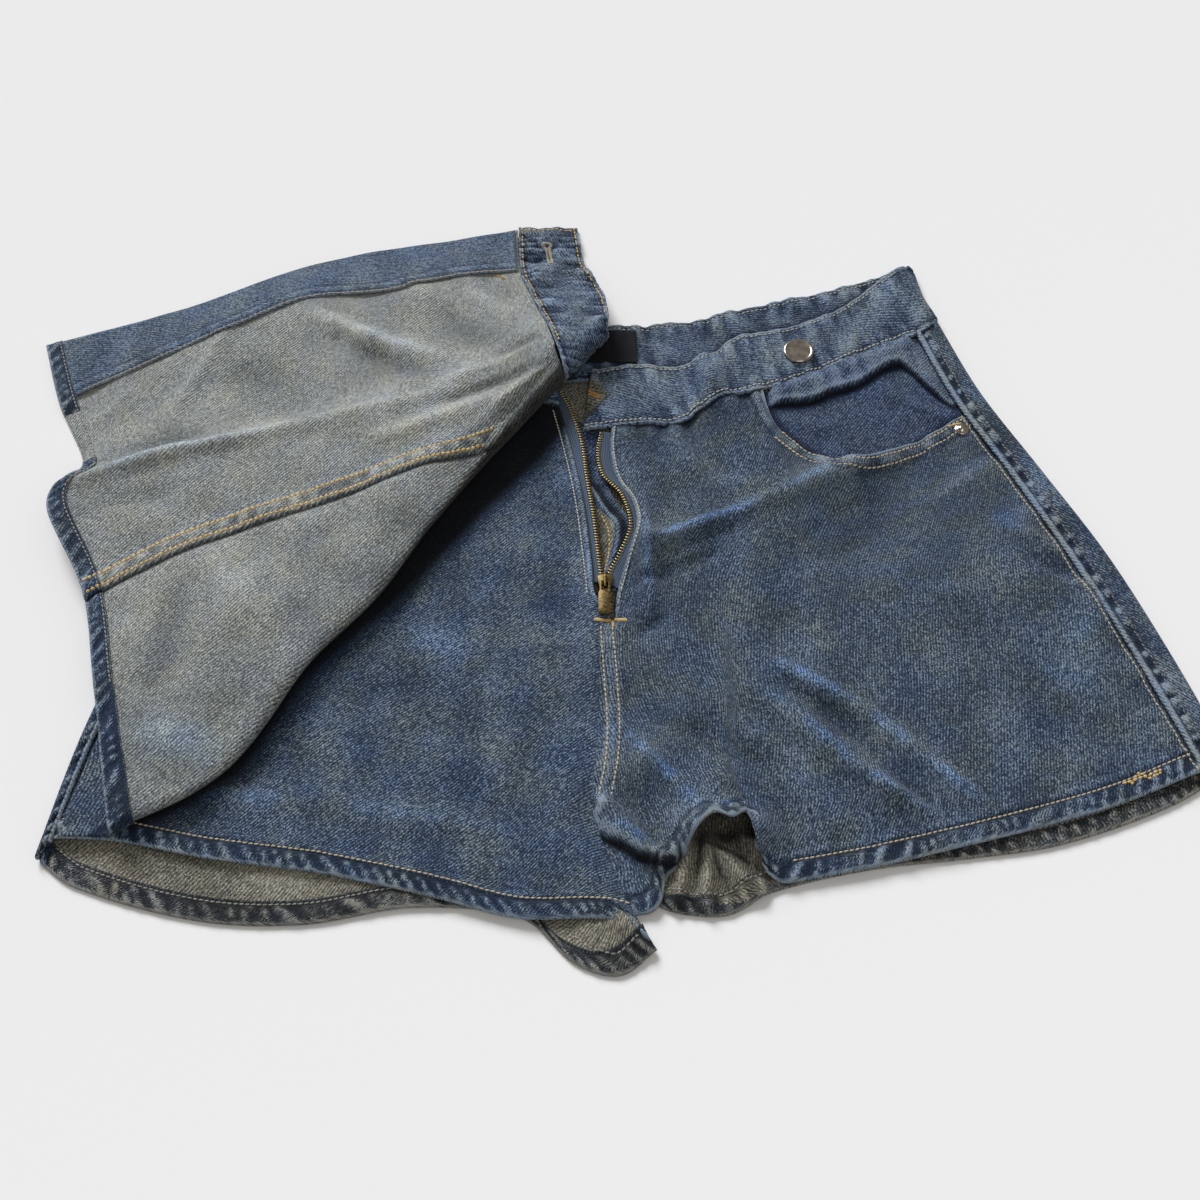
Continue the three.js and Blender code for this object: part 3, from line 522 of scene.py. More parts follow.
def turnHem(points, normal, rows, turnedUp, seed, side=None):
    # carries a grid of rows round the hem fold: the turned layer first, then the fold, then the cloth itself
    radius, depth = hemFold["radius"], hemFold["depth"]
    quarter = radius * math.pi / 2
    turned = -spacing(depth - radius, 1.2)[::-1] - quarter
    fold = np.linspace(-quarter, quarter, 7)
    q = np.concatenate([turned, fold[1:-1], rows[rows > radius] - radius + quarter])
    theta = np.clip(q / radius, -math.pi / 2, math.pi / 2)
    s = np.where(np.abs(q) > quarter, np.abs(q) - quarter + radius, radius * (1 - np.cos(theta)))
    rise = radius * (1 + np.sin(theta))
    if turnedUp:
        rise = 2 * radius - rise
    else:
        rise = np.where(q > 0, rise * (1 - smooth((s - depth) / 5)), rise)
    j = np.clip(np.searchsorted(rows, s, side="right") - 1, 0, len(rows) - 2)
    w = ((s - rows[j]) / (rows[j + 1] - rows[j]))[None, :, None]
    place = points[:, j] * (1 - w) + points[:, j + 1] * w
    up = normal[:, j] * (1 - w) + normal[:, j + 1] * w
    along = runs(points, 0)[:, :1] + np.zeros_like(s)[None, :]
    s = s[None, :] + np.zeros_like(along)
    shown = (q < 0.3) if turnedUp else (q > -0.3)

    bend = softNoise(along, 0, 42, seed) * 1.3
    phase = math.pi * (along + 0.5 * s) / hemFold["pitch"] + bend
    ridge = np.abs(np.sin(phase)) ** 4
    strong = np.clip(0.8 + 0.4 * softNoise(along, 0, 34, seed + 1), 0.3, 1.3)
    band = smooth((s + 0.6) / 2.5) * (1 - smooth((s - hemFold["stitch"] + 2.4) / 2.2))
    above = smooth((s - hemFold["stitch"]) / 1.2) * (1 - smooth((s - hemFold["stitch"]) / 11))
    ripple = hemFold["ripple"] * (ridge - 0.42) * strong * (band + 0.30 * above)
    groove = -0.6 * bell(s - hemFold["stitch"], 1.2)
    step = 0.35 * bell(s - hemFold["depth"] + 0.8, 1.6) if turnedUp else 0
    height = rise[None, :] + np.where(shown[None, :], ripple + groove + step, 0)
    if side is not None:
        flip = np.where(q[None, :] < 0, side[:, None], 1)
        height = np.where(q[None, :] < quarter, height * flip, height)
    wearAndShade = np.where(
        shown[None, :],
        (2.0 * ridge ** 1.4 - 0.85) * strong * (band + 0.2 * above) + 1.2 * bell(s, 1.3)
        - 0.8 * bell(s - hemFold["stitch"], 1.6),
        0,
    )
    return place + up * height[..., None], q, s, wearAndShade


# Outlines of the shorts in plan, each row a level from the hem to the foot of the waistband.
rightEdges = [
    {"edge": (338, -108), "seam": (319, -112)},
    {"edge": (316, -37), "seam": (297, -46)},
    {"edge": (292, 29), "seam": (271, 22)},
    {"edge": (262, 92), "seam": (244, 84)},
    {"edge": (234, 150), "seam": (217, 142)},
    {"edge": (214, 208), "seam": (199, 196)},
]
leftEdges = [
    {"edge": (-291, -161), "seam": (-283, -151)},
    {"edge": (-279, -90), "seam": (-270, -88)},
    {"edge": (-262, -25), "seam": (-247, -24)},
    {"edge": (-243, 38), "seam": (-226, 40)},
    {"edge": (-225, 102), "seam": (-209, 104)},
    {"edge": (-208, 178), "seam": (-193, 176)},
]
leftInner = [(25, -206), (14, -185), (4, -160), (-1, -141), (2, -125), (7, -82), (7, -20)]
leftFly = [(-3, 0), (-5, 21), (-9, 57), (-15, 94), (-25, 139)]
rightInner = [(29, -184), (20, -176), (9, -160), (3, -143), (4.5, -125), (8.5, -82), (8.5, -20)]
rightFly = [(10.5, 3), (15.5, 23), (21.5, 44), (18.5, 64), (9.5, 85), (6.5, 106), (7.5, 122)]
leftFrontHem = [
    (-283, -151), (-248, -152), (-205, -161), (-140, -170), (-83, -183), (-40, -194), (8, -195), (25, -206),
]
leftBackHem = [
    (-291, -161), (-269, -176), (-204, -194), (-150, -196), (-95, -187), (-39, -193), (-12, -217), (10, -223),
    (28, -210),
]
rightFrontHem = [
    (319, -112), (268, -132), (206, -150), (145, -165), (98, -173), (86, -165), (78, -152), (62, -147),
    (48, -152), (38, -166), (29, -184),
]
rightBackHem = [
    (338, -108), (301, -130), (240, -152), (190, -160), (140, -166), (90, -178), (65, -191), (40, -190),
    (29, -186),
]
leftBandFoot = [(-193, 176), (-150, 168), (-90, 152), (-25, 139)]
leftBandTop = [(-202, 219), (-155, 208), (-98, 192), (-30, 178)]
rightBandFoot = [
    (199, 196), (174, 186), (138, 168), (107, 155), (76, 146), (62, 137), (50, 127), (24, 125), (-10, 120),
]
rightBandTop = [
    (190, 250), (166, 228), (137, 209), (106, 199), (86, 194), (70, 180), (50, 170), (20, 170), (-5, 166),
]
backBandFoot = [(214, 208), (150, 192), (80, 172), (0, 162), (-60, 158), (-130, 160), (-208, 178)]
backBandTop = [(200, 255), (150, 237), (94, 219), (48, 206), (0, 204), (-110, 205), (-213, 222)]
leftBackInner = [
    (28, -210), (15, -188), (2, -162), (-4, -142), (-0.8, -120), (-0.3, -90), (-0.3, 20), (-0.2, 162),
]
rightBackInner = [
    (29, -186), (20, -178), (11, -160), (6, -142), (0.8, -120), (0.3, -90), (0.3, 20), (0.2, 162),
]
leftBackTop = [(-208, 178), (-130, 160), (-60, 158), (-0.2, 162)]
rightBackTop = [(214, 208), (150, 192), (80, 172), (0.2, 162)]
pocketMouth = [
    (0, 0.79), (0.1, 0.775), (0.22, 0.765), (0.33, 0.77), (0.41, 0.8), (0.47, 0.86), (0.505, 0.93), (0.52, 1),
]


def edgeLine(rows, column):
    return [row[column] for row in rows]


def legPlan(look, column):
    return patch(
        curve(look["hem"]), curve(look["top"]), curve(edgeLine(look["edges"], column)), curve(look["inner"]))


# Main folds of the fronts, from a to b: ax, ay, bx, by, width, height, taper.
frontFolds = [
    (95, -58, 150, -126, 11, 4.5, 0), (68, -72, 122, -140, 9, 3.5, 0), (20, -112, 56, -70, 10, 3, 0),
    (24, 30, 60, 52, 12, 3.5, 0), (150, 92, 100, 50, 20, 3, 0), (180, 60, 240, 10, 26, 2.5, 0),
    (24, 66, 27, 38, 11, 5, 0), (50, -149, 80, -149, 13, 14, 0), (62, -120, 66, -146, 14, 4, 0),
    (4, -134, 32, -166, 6, 6, 0), (-25, -40, -60, -110, 18, 3, 0), (66, 174, 74, 144, 9, 3.5, 0),
]


def seamX(rows, y):
    seams = np.array(edgeLine(rows, "seam"), float)
    i = np.clip(np.searchsorted(seams[:, 1], y) - 1, 0, len(seams) - 2)
    t = np.clip((y - seams[i, 1]) / (seams[i + 1, 1] - seams[i, 1]), -0.5, 1.5)
    return seams[i, 0] + (seams[i + 1, 0] - seams[i, 0]) * t


def frontUnderside(x, y):
    inside = np.where(x > 0, seamX(rightEdges, y) - x, x - seamX(leftEdges, y))
    sideLift = (sideTop - cloth - frontRest) * (1 - smooth(inside / 40))
    flyLift = 1.6 * (1 - smooth((np.abs(x - 4) - 16) / 26)) * smooth((y + 30) / 30)
    return frontRest + sideLift + flyLift + foldHeight(frontFolds, x, y)


pieces = {}


def declare(piece, nodes):
    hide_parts(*nodes)
    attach(piece, "garment")
    pieces[piece.name] = piece


def rolledEdge(edge, towards, half, turn):
    # a line of points round a rolled side edge, whose turn goes from the top to the ground
    z = sideTop / 2 + (sideTop / 2 - half) * math.cos(turn)
    return raised(edge + towards * sideRoll * (1 - math.sin(turn)), z)


# Back legs: flat on the ground with the inside up, the side edge rolled up and over.
def backLeg(look):
    rows = spacing(look["length"], look["coarse"], 1.0, [(0, look["fineRows"])])
    v = rows / look["length"]
    edge, seam = curve(edgeLine(look["edges"], "edge"))(v), curve(edgeLine(look["edges"], "seam"))(v)
    reach = np.linalg.norm(seam - edge, axis=1, keepdims=True)
    towards = (seam - edge) / reach
    half = cloth / 2
    stations = []
    gather = np.clip(1.3 * softNoise(rows, 0 * rows, 7.5, look["seed"] + 2), -1, 1)
    for share in np.linspace(0, 1, 28):
        away = reach - (reach - sideRoll) * share
        fromSeam = (reach - away)[:, 0]
        place = edge + towards * away
        fell = 1 - smooth((fromSeam - 8.6) / 1.6)
        fell = fell + 1.2 * gather * bell(fromSeam - 7, 3) - 0.5 * bell(fromSeam - 9.4, 0.9)
        fell = fell - 0.6 * (1 - smooth(fromSeam / 0.8)) + 1.1 * bell(fromSeam - 2, 1.5)
        fell = fell - 0.9 * bell(fromSeam - 4.8, 1.0)
        stations.append(raised(place, sideTop - half + fell * smooth(reach[:, 0] / 9)))
    for turn in np.linspace(0, math.pi, 9)[1:-1]:
        stations.append(rolledEdge(edge, towards, half, turn))
    plan = legPlan(look, "edge")
    start = sideRoll / 290
    for u in start + (1 - start) * spacing(1, look["coarse"] / 290, 1.1 / 290, [(look["fineFrom"], 1)]):
        place = plan(np.full(len(v), u), v)
        x, y = place[:, 0], place[:, 1]
        lift = np.clip(foldHeight(look["folds"], x, y), 0, 12)
        stations.append(raised(place, half + lift))
    points = np.stack(stations)
    normal = upNormals(points, slice(-40, None))
    placed, q, s, wearAndShade = turnHem(points, normal, rows, True, look["seed"])
    placed[..., 2] = np.maximum(placed[..., 2], half + 0.02)
    across = runs(placed, 0)
    wearAndShade += 0.25 * softNoise(placed[..., 0], placed[..., 1], 60, look["seed"] + 5)
    weave = np.stack([across * look["mirror"], q[None, :] + np.zeros_like(across)], axis=-1)
    fromSeam = runs(points, 0)[:, np.clip(np.searchsorted(rows, s[0]), 0, len(rows) - 1)]
    gather = gather[np.clip(np.searchsorted(rows, s[0]), 0, len(rows) - 1)][None, :]
    # pale seam ridge and lighter and darker puckers; painted shade in the grooves beside the ridge and at the
    # stitch row
    wearAndShade += (1.5 * bell(fromSeam - 2.0, 1.6) + (1.9 * gather - 0.25) * bell(fromSeam - 7.4, 3.0)
             - 1.4 * bell(fromSeam - 4.8, 1.1) - 0.5 * bell(fromSeam - 10.0, 1.2) - 0.8 * bell(fromSeam, 0.7))
    crest = np.zeros(wearAndShade.shape)
    # painted shade inside the arch of the right leg: darker over the hollow, lighter on its raised folds, darker
    # still along its creases
    if "dark" in look:
        near = bell(np.hypot(placed[..., 0] - look["dark"][0], placed[..., 1] - look["dark"][1]), look["dark"][2])
        lines = foldHeight(look["lines"], placed[..., 0], placed[..., 1])
        wearAndShade += near * (0.16 * foldHeight(look["folds"], placed[..., 0], placed[..., 1]) - 0.8)
        crest = crest - near * (0.22 + 0.95 * lines)
    turned = 2 * (np.broadcast_to((q < 0.2)[None, :], wearAndShade.shape) & (fromSeam > 24))
    if "dark" in look:
        turned = np.where(near > 0.3, 2 * turned, turned)
    if look["mirror"] < 0:
        placed, weave, wearAndShade, crest, turned = backwards(placed, weave, wearAndShade, crest, turned)
    # the turned hems show the shaded copy of the face denim, except inside the arch, and the inside of the legs
    # the shaded copy of the reverse: both painted shade
    sides = [shadedReverseDenim, faceDenim, shadedReverseDenim, shadedFaceDenim, shadedReverseDenim, shadedReverseDenim]
    return makeCloth(look["name"], placed, weave, wearAndShade, 1.1, sides, crest=crest, zone=turned)


backLeft = {
    "name": "backLegLeft", "edges": leftEdges, "hem": leftBackHem, "top": leftBackTop, "inner": leftBackInner,
    "length": 338, "coarse": 3.0, "fineRows": 17, "fineFrom": 0.95, "seed": 11, "mirror": 1,
    "flat": (0.305, 0.375), "area": 0.107,
    "folds": [
        (-150, -150, -60, -170, 26, 1.6, 0.6), (5, -190, 22, -205, 9, 5, 0.4), (-8, -196, 4, -212, 5, 3, 0.4),
    ],
}
backRight = {
    "name": "backLegRight", "edges": rightEdges, "hem": rightBackHem, "top": rightBackTop,
    "inner": rightBackInner, "length": 330, "coarse": 3.0, "fineRows": 46, "fineFrom": 0.8, "seed": 23,
    "mirror": -1, "flat": (0.335, 0.375), "area": 0.115,
    "folds": [
        (46, -148, 40, -184, 4.0, 6.0, 0.3), (56, -150, 54, -186, 3.5, 6.0, 0.3),
        (58, -152, 80, -180, 5.0, 5.0, 0.3), (74, -148, 90, -166, 4.0, 6.5, 0.4),
    ],
    # painted shade: centre and reach of the shaded hollow, then the creases darkened in it
    "dark": (64, -150, 32), "lines": [
        (48, -151, 84, -146, 4.5, 0.9, 0.3), (53, -152, 46, -190, 1.5, 1.1, 0.3),
        (53, -152, 72, -160, 1.5, 1.1, 0.3), (72, -160, 90, -172, 1.5, 1.1, 0.3),
        (57, -156, 66, -178, 1.3, 1, 0.4), (79, -148, 86, -174, 2.0, 0.9, 0.4),
        (62, -166, 58, -190, 1.2, 0.7, 0.5), (40, -182, 88, -178, 1.2, 0.6, 0.5),
    ],
}
legLeft = backLeg(backLeft)
declare(legLeft, ["shorts_back_left"])
legRight = backLeg(backRight)
declare(legRight, ["shorts_back_right"])
print("back legs laid")


# Fronts. Above half their length their levels bend to follow the pocket mouth.
frontCreases = [
    (29, 33, 97, 65, 4.95, 3.77, 0.5), (97, 65, 183, 106, 8.1, 4.35, 0.6), (22, 8, 66, 29, 3.6, -2.9, 0.5),
    (118, 32, 196, 82, 15.3, -3.19, 0.5), (39, 115, 66, 80, 5.4, 2.32, 0.6), (66, 79, 96, 77, 5.4, 1.74, 0.6),
    (24, 60, 29, -10, 5.4, 4.06, 0.7), (22, -26, 38, -13, 4.5, -2.32, 0.6), (93, -42, 143, -75, 5.6, 3.6, 0.6),
    (143, -75, 202, -132, 5.4, 3.9, 0.6), (104, -60, 146, -97, 5.6, -3.8, 0.5),
    (82, -60, 134, -111, 5.4, 3.5, 0.5), (134, -111, 178, -139, 4.95, 3.2, 0.6),
    (146, -97, 182, -137, 4.6, -3.6, 0.5), (11, -87, 47, -129, 5.4, 2.9, 0.5),
    (30, -78, 101, -113, 6.3, -2.465, 0.5), (238, 48, 258, 32, 5.4, 2.9, 0.6),
    (280, 17, 269, -72, 9.9, 2.32, 0.6), (187, -1, 213, 4, 6.3, 1.595, 0.6),
    (251, 22, 273, 12, 4.5, -2.32, 0.5), (226, 88, 204, 70, 5.4, 2.03, 0.5),
    (-118, -28, -70, -38, 13.5, 2.175, 0.6), (-150, -60, -35, -90, 18, -1.885, 0.5),
    (-14, 84, -2, -40, 6.3, 1.595, 0.6), (-60, 60, -32, 10, 12.6, 1.595, 0.5),
    (-224, -121, -157, -131, 7.2, 2.175, 0.6), (-150, -131, -25, -150, 7.2, 1.885, 0.6),
    (-88, -110, -50, -140, 11.7, -1.74, 0.5),
]


# Fold crests, painted with a blue highlight.
crestHighlights = [
    (29, 35, 97, 67, 3.2, 0.8, 0.9), (97, 67, 150, 95, 3.5, 0.5, 1), (24, 60, 29, -10, 3.0, 0.5, 1),
    (95, -42, 144, -73, 4.2, 0.75, 1), (144, -73, 170, -100, 4, 0.7, 1), (170, -100, 202, -129, 4, 0.6, 1),
    (84, -60, 108, -78, 4, 0.5, 1), (108, -78, 135, -109, 4.2, 0.75, 1), (135, -109, 176, -136, 4, 0.65, 1),
    (11, -85, 53, -133, 4.2, 0.65, 1), (4, -140, 32, -158, 3, 0.7, 0.9),
    (-115, -30, -72, -37, 8, 0.35, 1), (-222, -122, -157, -129, 5, 0.4, 1), (-140, -132, -30, -146, 5, 0.35, 1),
    (40, -135, 86, -134, 5, 0.5, 1), (-10, 70, -2, -30, 3, 0.35, 1), (226, 60, 250, 42, 8, 0.45, 1),
    (262, -14, 274, -34, 9, 0.45, 1), (240, -40, 262, -60, 8, 0.3, 1), (150, 20, 190, 8, 8, 0.3, 1),
]


def frontLeg(look):
    length = look["length"]
    rows = spacing(length, look["coarse"], 1.0, [(0, 17), (length - 14, length)] + look["rowBands"])
    width = look["width"]
    u = spacing(width, look["coarse"], 0.9, [(0, 9), (width - 14, width)] + look["columnBands"]) / width
    plan = legPlan(look, "seam")
    gridU, gridV = np.meshgrid(u, rows / length, indexing="ij")
    reach = look["mouth"](u)[:, None]
    settled = 0.5
    level = np.where(gridV < settled, gridV, settled + (gridV - settled) * (reach - settled) / (1 - settled))
    place = plan(gridU, level)
    x, y = place[..., 0], place[..., 1]
    side = runs(place, 0)
    inner = -runs(place, 0, -1)
    seam = smooth((y + 140) / 12) * (1 - smooth((y + 24) / 8))
    shift = look["overlap"] * seam * (1 - smooth(inner / 26))
    x = x - shift
    outward = 1.4 * (1 - smooth(side / 5)) * (-1 if look["mirror"] > 0 else 1)
    x = x + outward
    z = frontUnderside(x, y) + cloth / 2 + look["relief"] * foldHeight(frontCreases, x, y)
    z += 0.45 * softNoise(x, y, 75, look["seed"]) + 0.22 * softNoise(x, y, 28, look["seed"] + 1)
    # puckers along the side seam and the foot of the waistband
    pucker = np.clip(softNoise(y, 0.2 * side, 13, look["seed"] + 2), -1, 1)
    z += 0.5 * pucker * bell(side - 4, 5.0) - 0.9 * (1 - smooth(side / 3.5)) - 0.5 * bell(side - 2, 2)
    top = runs(place, 1, -1)
    gather = np.clip(softNoise(x, 0.15 * y, 14, look["seed"] + 3), -1, 1)
    z += gather * bell(-top - 4, 9.0)
    # the felled seam from the crotch to the fly: the right front laps over the left one
    if look["overlap"]:
        lap = seam * (1 - smooth((inner - 9.8) / 3.2))
        z += (1.05 * lap - 0.5 * seam * (bell(inner - 2.2, 0.8) + bell(inner - 8.8, 0.8))
              - 0.4 * lap * bell(inner, 0.8))
        z += 0.35 * seam * np.clip(softNoise(y, 0, 12, 77), -1, 1) * bell(inner - 5.5, 4)
    else:
        z -= 0.5 * seam * (1 - smooth(inner / 5))
    # turned fly edge
    fly = smooth((y + 20) / 10)
    z += fly * (0.95 * bell(inner - 1.3, 1.7) - 0.45 * bell(inner - look["flyStitch"], 0.8)
                - 0.5 * bell(inner, 0.6))
    if "step" in look:
        away, _, left = lineAway(np.stack([x, y], axis=-1), look["step"])
        signed = away * left
        near = bell(away, 26) * smooth((x + 6) / 8) * (1 - smooth((x - 38) / 10))
        lowSide = smooth(-(signed - 0.6) / 1.9)
        z += near * (2.9 * bell(signed - 2.6, 3.2) - 4.6 * lowSide) + 2.4 * lowSide * bell(inner - 9, 6) * near
        wrap = (1 - smooth(inner / 7)) * smooth((-y - 128) / 10)
        z = np.maximum(z - 5.0 * wrap, 1.9)
        x = x - 5.5 * wrap
    points = np.stack([x, y, z], axis=-1)
    # painted highlight on fold ridges and painted shade in fold troughs
    wearAndShade = 0.075 * foldHeight(frontCreases, x, y) + 0.02 * (foldHeight(frontFolds, x, y) - 1)
    # lighter and darker puckers and gathers, a pale folded fly edge, a lighter felled seam, and painted shade
    # along the side seam's edge and the fly stitching
    wearAndShade += (0.22 * pucker * bell(side - 6, 6) - 0.5 * (1 - smooth(side / 2.2))
             + 0.14 * softNoise(x, y, 40, look["seed"] + 4))
    wearAndShade += 0.42 * gather * bell(-top - 4, 9.0)
    wearAndShade += fly * (0.85 * bell(inner - 0.8, 1.5) - 0.4 * bell(inner - look["flyStitch"], 0.9))
    wearAndShade += seam * (0.42 * bell(inner - 5.2, 3.2) if look["overlap"] else 0.1)
    # painted shadow under the foot of the waistband
    footAway, _, _ = lineAway(points, drawn(look["foot"], 60))
    wearAndShade -= 1.3 * bell(footAway, 2.8)
    paintedShade = 0.7 * bell(footAway, 2.0)
    # painted shadow of the flap's roll on the leg beside it, and painted shade under the roll
    if "flapShadow" in look:
        away, share, left = lineAway(points, drawn(look["flapShadow"], 60))
        wide = 3 + 8 * smooth((share - 120) / 180)
        inside = (1 - smooth((away * left - 13) / 9)) * smooth((x + 250) / 8)
        wearAndShade -= smooth((away * left + wide + 8) / 12) * inside
        paintedShade = paintedShade + smooth((away * left + wide) / 5) * inside
    # painted highlight on the thigh step's edge and painted shade in the crevice below it
    if "step" in look:
        wearAndShade += near * (1.3 * bell(signed - 1.8, 1.4) - 1.2 * bell(signed + 1.0, 1.8))
        paintedShade = paintedShade + 1.2 * near * bell(signed + 0.9, 1.2)
    if "mouthLine" in look:
        away, along, _ = lineAway(points, look["mouthLine"])
        rim = np.clip(softNoise(along, 0, 11, 99), -1, 1)
        z2 = 1.1 * (1 - smooth((away - 8.5) / 2.2)) - 0.5 * bell(away - 7.6, 0.9) - 0.4 * bell(away - 2.0, 0.8)
        z2 += 0.35 * rim * bell(away - 5, 2.6)
        points[..., 2] += z2 + 0.3 * bell(away, 1.2)
        # pale rubbed mouth edge and lighter and darker puckers; painted shade along the two stitch grooves
        wearAndShade += (1.2 * bell(away, 1.2) + 0.5 * rim * bell(away - 5, 3) + 0.1 * bell(away - 5, 3)
                 - 0.7 * bell(away - 7.6, 1.2) - 0.5 * bell(away - 2.0, 1.0))
    normal = upNormals(points)
    placed, q, s, hemWear = turnHem(points, normal, rows, False, look["seed"] + 9)
    across = runs(placed, 0)
    weave = np.stack([across * look["mirror"], q[None, :] + np.zeros_like(across)], axis=-1)
    j = np.clip(np.searchsorted(rows, s[0]), 0, len(rows) - 1)
    wearAndShade = wearAndShade[:, j] + hemWear
    if "lip" in look:
        lip = bell(lineAway(placed, look["lip"])[0], 5)
        wearAndShade += lip * (1.2 * bell(q - 0.6, 1.1) - 0.9 * bell(q - 4.6, 1.5) + 0.5 * bell(q - 9, 3))[None, :]
    mottle = 0.85 + 0.35 * softNoise(placed[..., 0], placed[..., 1], 12, look["seed"] + 6)
    # painted blue highlight on the fold crests, less the painted shade
    crest = smooth(foldHeight(crestHighlights, placed[..., 0], placed[..., 1])) * (q > 8)[None, :] * mottle
    crest = crest - paintedShade[:, j]
    if look["mirror"] < 0:
        placed, weave, wearAndShade, crest = backwards(placed, weave, wearAndShade, crest)
    return makeCloth(look["name"], placed, weave, wearAndShade, 1.1, [look["material"], shadedReverseDenim], crest=crest)


mouthCurve = drawn(pocketMouth, 400)


def mouthAt(u):
    return np.where(u >= pocketMouth[-1][0], 1.0, np.interp(u, mouthCurve[:, 0], mouthCurve[:, 1]))


frontLeft = {
    "name": "frontLegLeft", "edges": leftEdges, "foot": leftBandFoot, "hem": leftFrontHem, "top": leftBandFoot,
    "inner": leftInner + leftFly, "length": 340, "width": 290, "coarse": 2.4, "seed": 31, "mirror": 1,
    "overlap": 0, "flyStitch": 4.2, "mouth": lambda u: np.ones_like(u), "rowBands": [], "columnBands": [],
    "relief": 1.0, "material": faceDenim, "flat": (0.32, 0.375), "area": 0.102,
    # line of the flap's roll, along which painted shadow and shade fall on this leg
    "flapShadow": [(-252, -150), (-197, -116), (-160, -52), (-125, -8), (-91, 42), (-56, 88), (-17, 142)],
}
rightFrontTop = rightBandFoot[:-2] + [(8, 122)]
archHem = [
    (319, -112), (268, -132), (206, -150), (145, -165), (104, -173), (94, -174.5), (86.5, -170), (83, -160),
    (83, -150), (80.5, -142.5), (75, -140), (68, -146), (60, -141.5), (53.5, -146), (47, -154), (40, -165.5),
    (34, -171), (31, -184), (27, -190), (21, -192),
]
thighInner = [
    (21, -192), (15.5, -181), (9.5, -167), (4.8, -150), (2.8, -139), (4.5, -125), (8.5, -82), (8.5, -20),
]
thighStep = [(-1, -131), (3, -144), (8, -150), (20, -160), (34, -164.5), (42, -160)]
frontRight = {
    "name": "frontLegRight", "edges": rightEdges, "foot": rightBandFoot, "hem": archHem, "top": rightFrontTop,
    "inner": thighInner + rightFly, "step": thighStep, "lip": archHem[6:18], "length": 330, "width": 300,
    "coarse": 2.4, "seed": 47, "mirror": -1, "overlap": 9, "flyStitch": 2.6, "mouth": mouthAt,
    "rowBands": [(17, 46), (312, 330)], "columnBands": [(135, 160), (256, 286)],
    "relief": 1.35, "material": rightDenim, "flat": (0.325, 0.35), "area": 0.096,
}
rightPlan = patch(
    curve(rightFrontHem), curve(rightFrontTop), curve(edgeLine(rightEdges, "seam")), curve(rightInner + rightFly))
mouthU = np.linspace(0, pocketMouth[-1][0], 90)
mouthLine = rightPlan(mouthU, mouthAt(mouthU))
frontRight["mouthLine"] = mouthLine
leftFront = frontLeg(frontLeft)
declare(leftFront, ["shorts_front_left"])
rightFront = frontLeg(frontRight)
declare(rightFront, ["shorts_front_right"])
print("fronts laid")

# Pocket facing: puffs out under the waistband, then drops into the mouth and runs under its edge.
pocket = {"tuck": 14, "from": -0.004, "width": 0.52, "cloth": 1.0, "flat": (0.16, 0.10), "area": 0.0125}
u, v = np.meshgrid(np.linspace(0, 1, 170), np.linspace(0, 1, 84), indexing="ij")
across = pocket["from"] + u * (pocket["width"] - pocket["from"])
bottom = mouthAt(np.minimum(across, 0.47)) - pocket["tuck"] / 330
place = rightPlan(np.clip(across, 0, 1), bottom + (0.993 - bottom) * v)
x, y = place[..., 0] + 500 * np.clip(-across, 0, 1), place[..., 1]
below = -runs(place, 1, -1)
edge = runs(place, 0)
ends = smooth(edge / 14) * smooth(-runs(place, 0, -1) / 16)
sideRise = (sideTop - cloth - frontRest) * (1 - smooth((seamX(rightEdges, y) - x) / 40))
pocketRest = cloth + 0.3 + pocket["cloth"] / 2
lip = 11.5 + 5.0 * np.sin(math.pi * u) + 46 * (1 - smooth((u - 0.02) / 0.16)) + 1.6 * softNoise(x, 0, 26, 5)
rollOver = 1 - smooth((below - lip) / 2.4)
bulge = (4.4 + 1.6 * bell(below - 5, 4)) * rollOver * smooth(ends * 1.6)
z = pocketRest + 0.5 + sideRise + bulge + 0.3 * softNoise(x, y, 22, 6)
z += foldHeight([(176, 152, 209, 128, 5, 2.6, 0.4), (110, 128, 150, 120, 6, 0.9, 0.5)], x, y) * (
    1 - smooth((12 - below) / 4))
# lighter on the puff under the waistband, with random mottle; painted shadow below the puff and painted shade
# where the facing runs under the mouth
wearAndShade = 0.62 * rollOver + 0.6 * bell(below - lip + 1.5, 1.6) + 0.4 * softNoise(x, 0.3 * y, 9, 7) * rollOver
wearAndShade -= 1.5 * bell(below - lip - 3.2, 2.4) + 0.9 * bell(lineAway(place, mouthLine)[0] - 1, 3)
points = np.stack([x, y, z], axis=-1)
# painted shade below the puff and along the mouth
crest = -0.9 * bell(below - lip - 2.4, 1.6) - 0.5 * bell(lineAway(place, mouthLine)[0], 2.5)
weave = np.stack([x, y], axis=-1)
points, weave, wearAndShade, crest = backwards(points, weave, wearAndShade, crest)
pocketFacing = makeCloth("pocketFacing", points, weave, wearAndShade, 0.9, [pocketDenim, reverseDenim], crest=crest)
declare(pocketFacing, ["pocket_facing"])


# Waistbands: doubled cloth, puckered between the two rows of stitches along their edges.
def bandRipples(along, w, width, seed, strength=1.0):
    foot, top = w * width, (1 - w) * width
    gather = np.clip(softNoise(along, 0.2 * foot, 7.5, seed), -1, 1)
    broad = softNoise(along, foot, 26, seed + 1)
    height = strength * (gather * (bell(foot - 6, 8) + 0.9 * bell(top - 6, 8)) + 0.55 * broad)
    height = height - 0.6 * (bell(foot - 2.6, 1.1) + bell(top - 2.6, 1.1)) + 0.4 * np.sin(math.pi * w)
    # lighter and darker gathers and pale edges; painted shade along the stitch grooves
    wearAndShade = 0.6 * gather * (bell(foot - 6, 9) + bell(top - 6, 9)) + 0.2 * broad
    wearAndShade += 0.8 * (bell(foot, 1.2) + bell(top, 1.4)) - 0.8 * (bell(foot - 2.6, 1.3) + bell(top - 2.6, 1.3))
    return height, wearAndShade


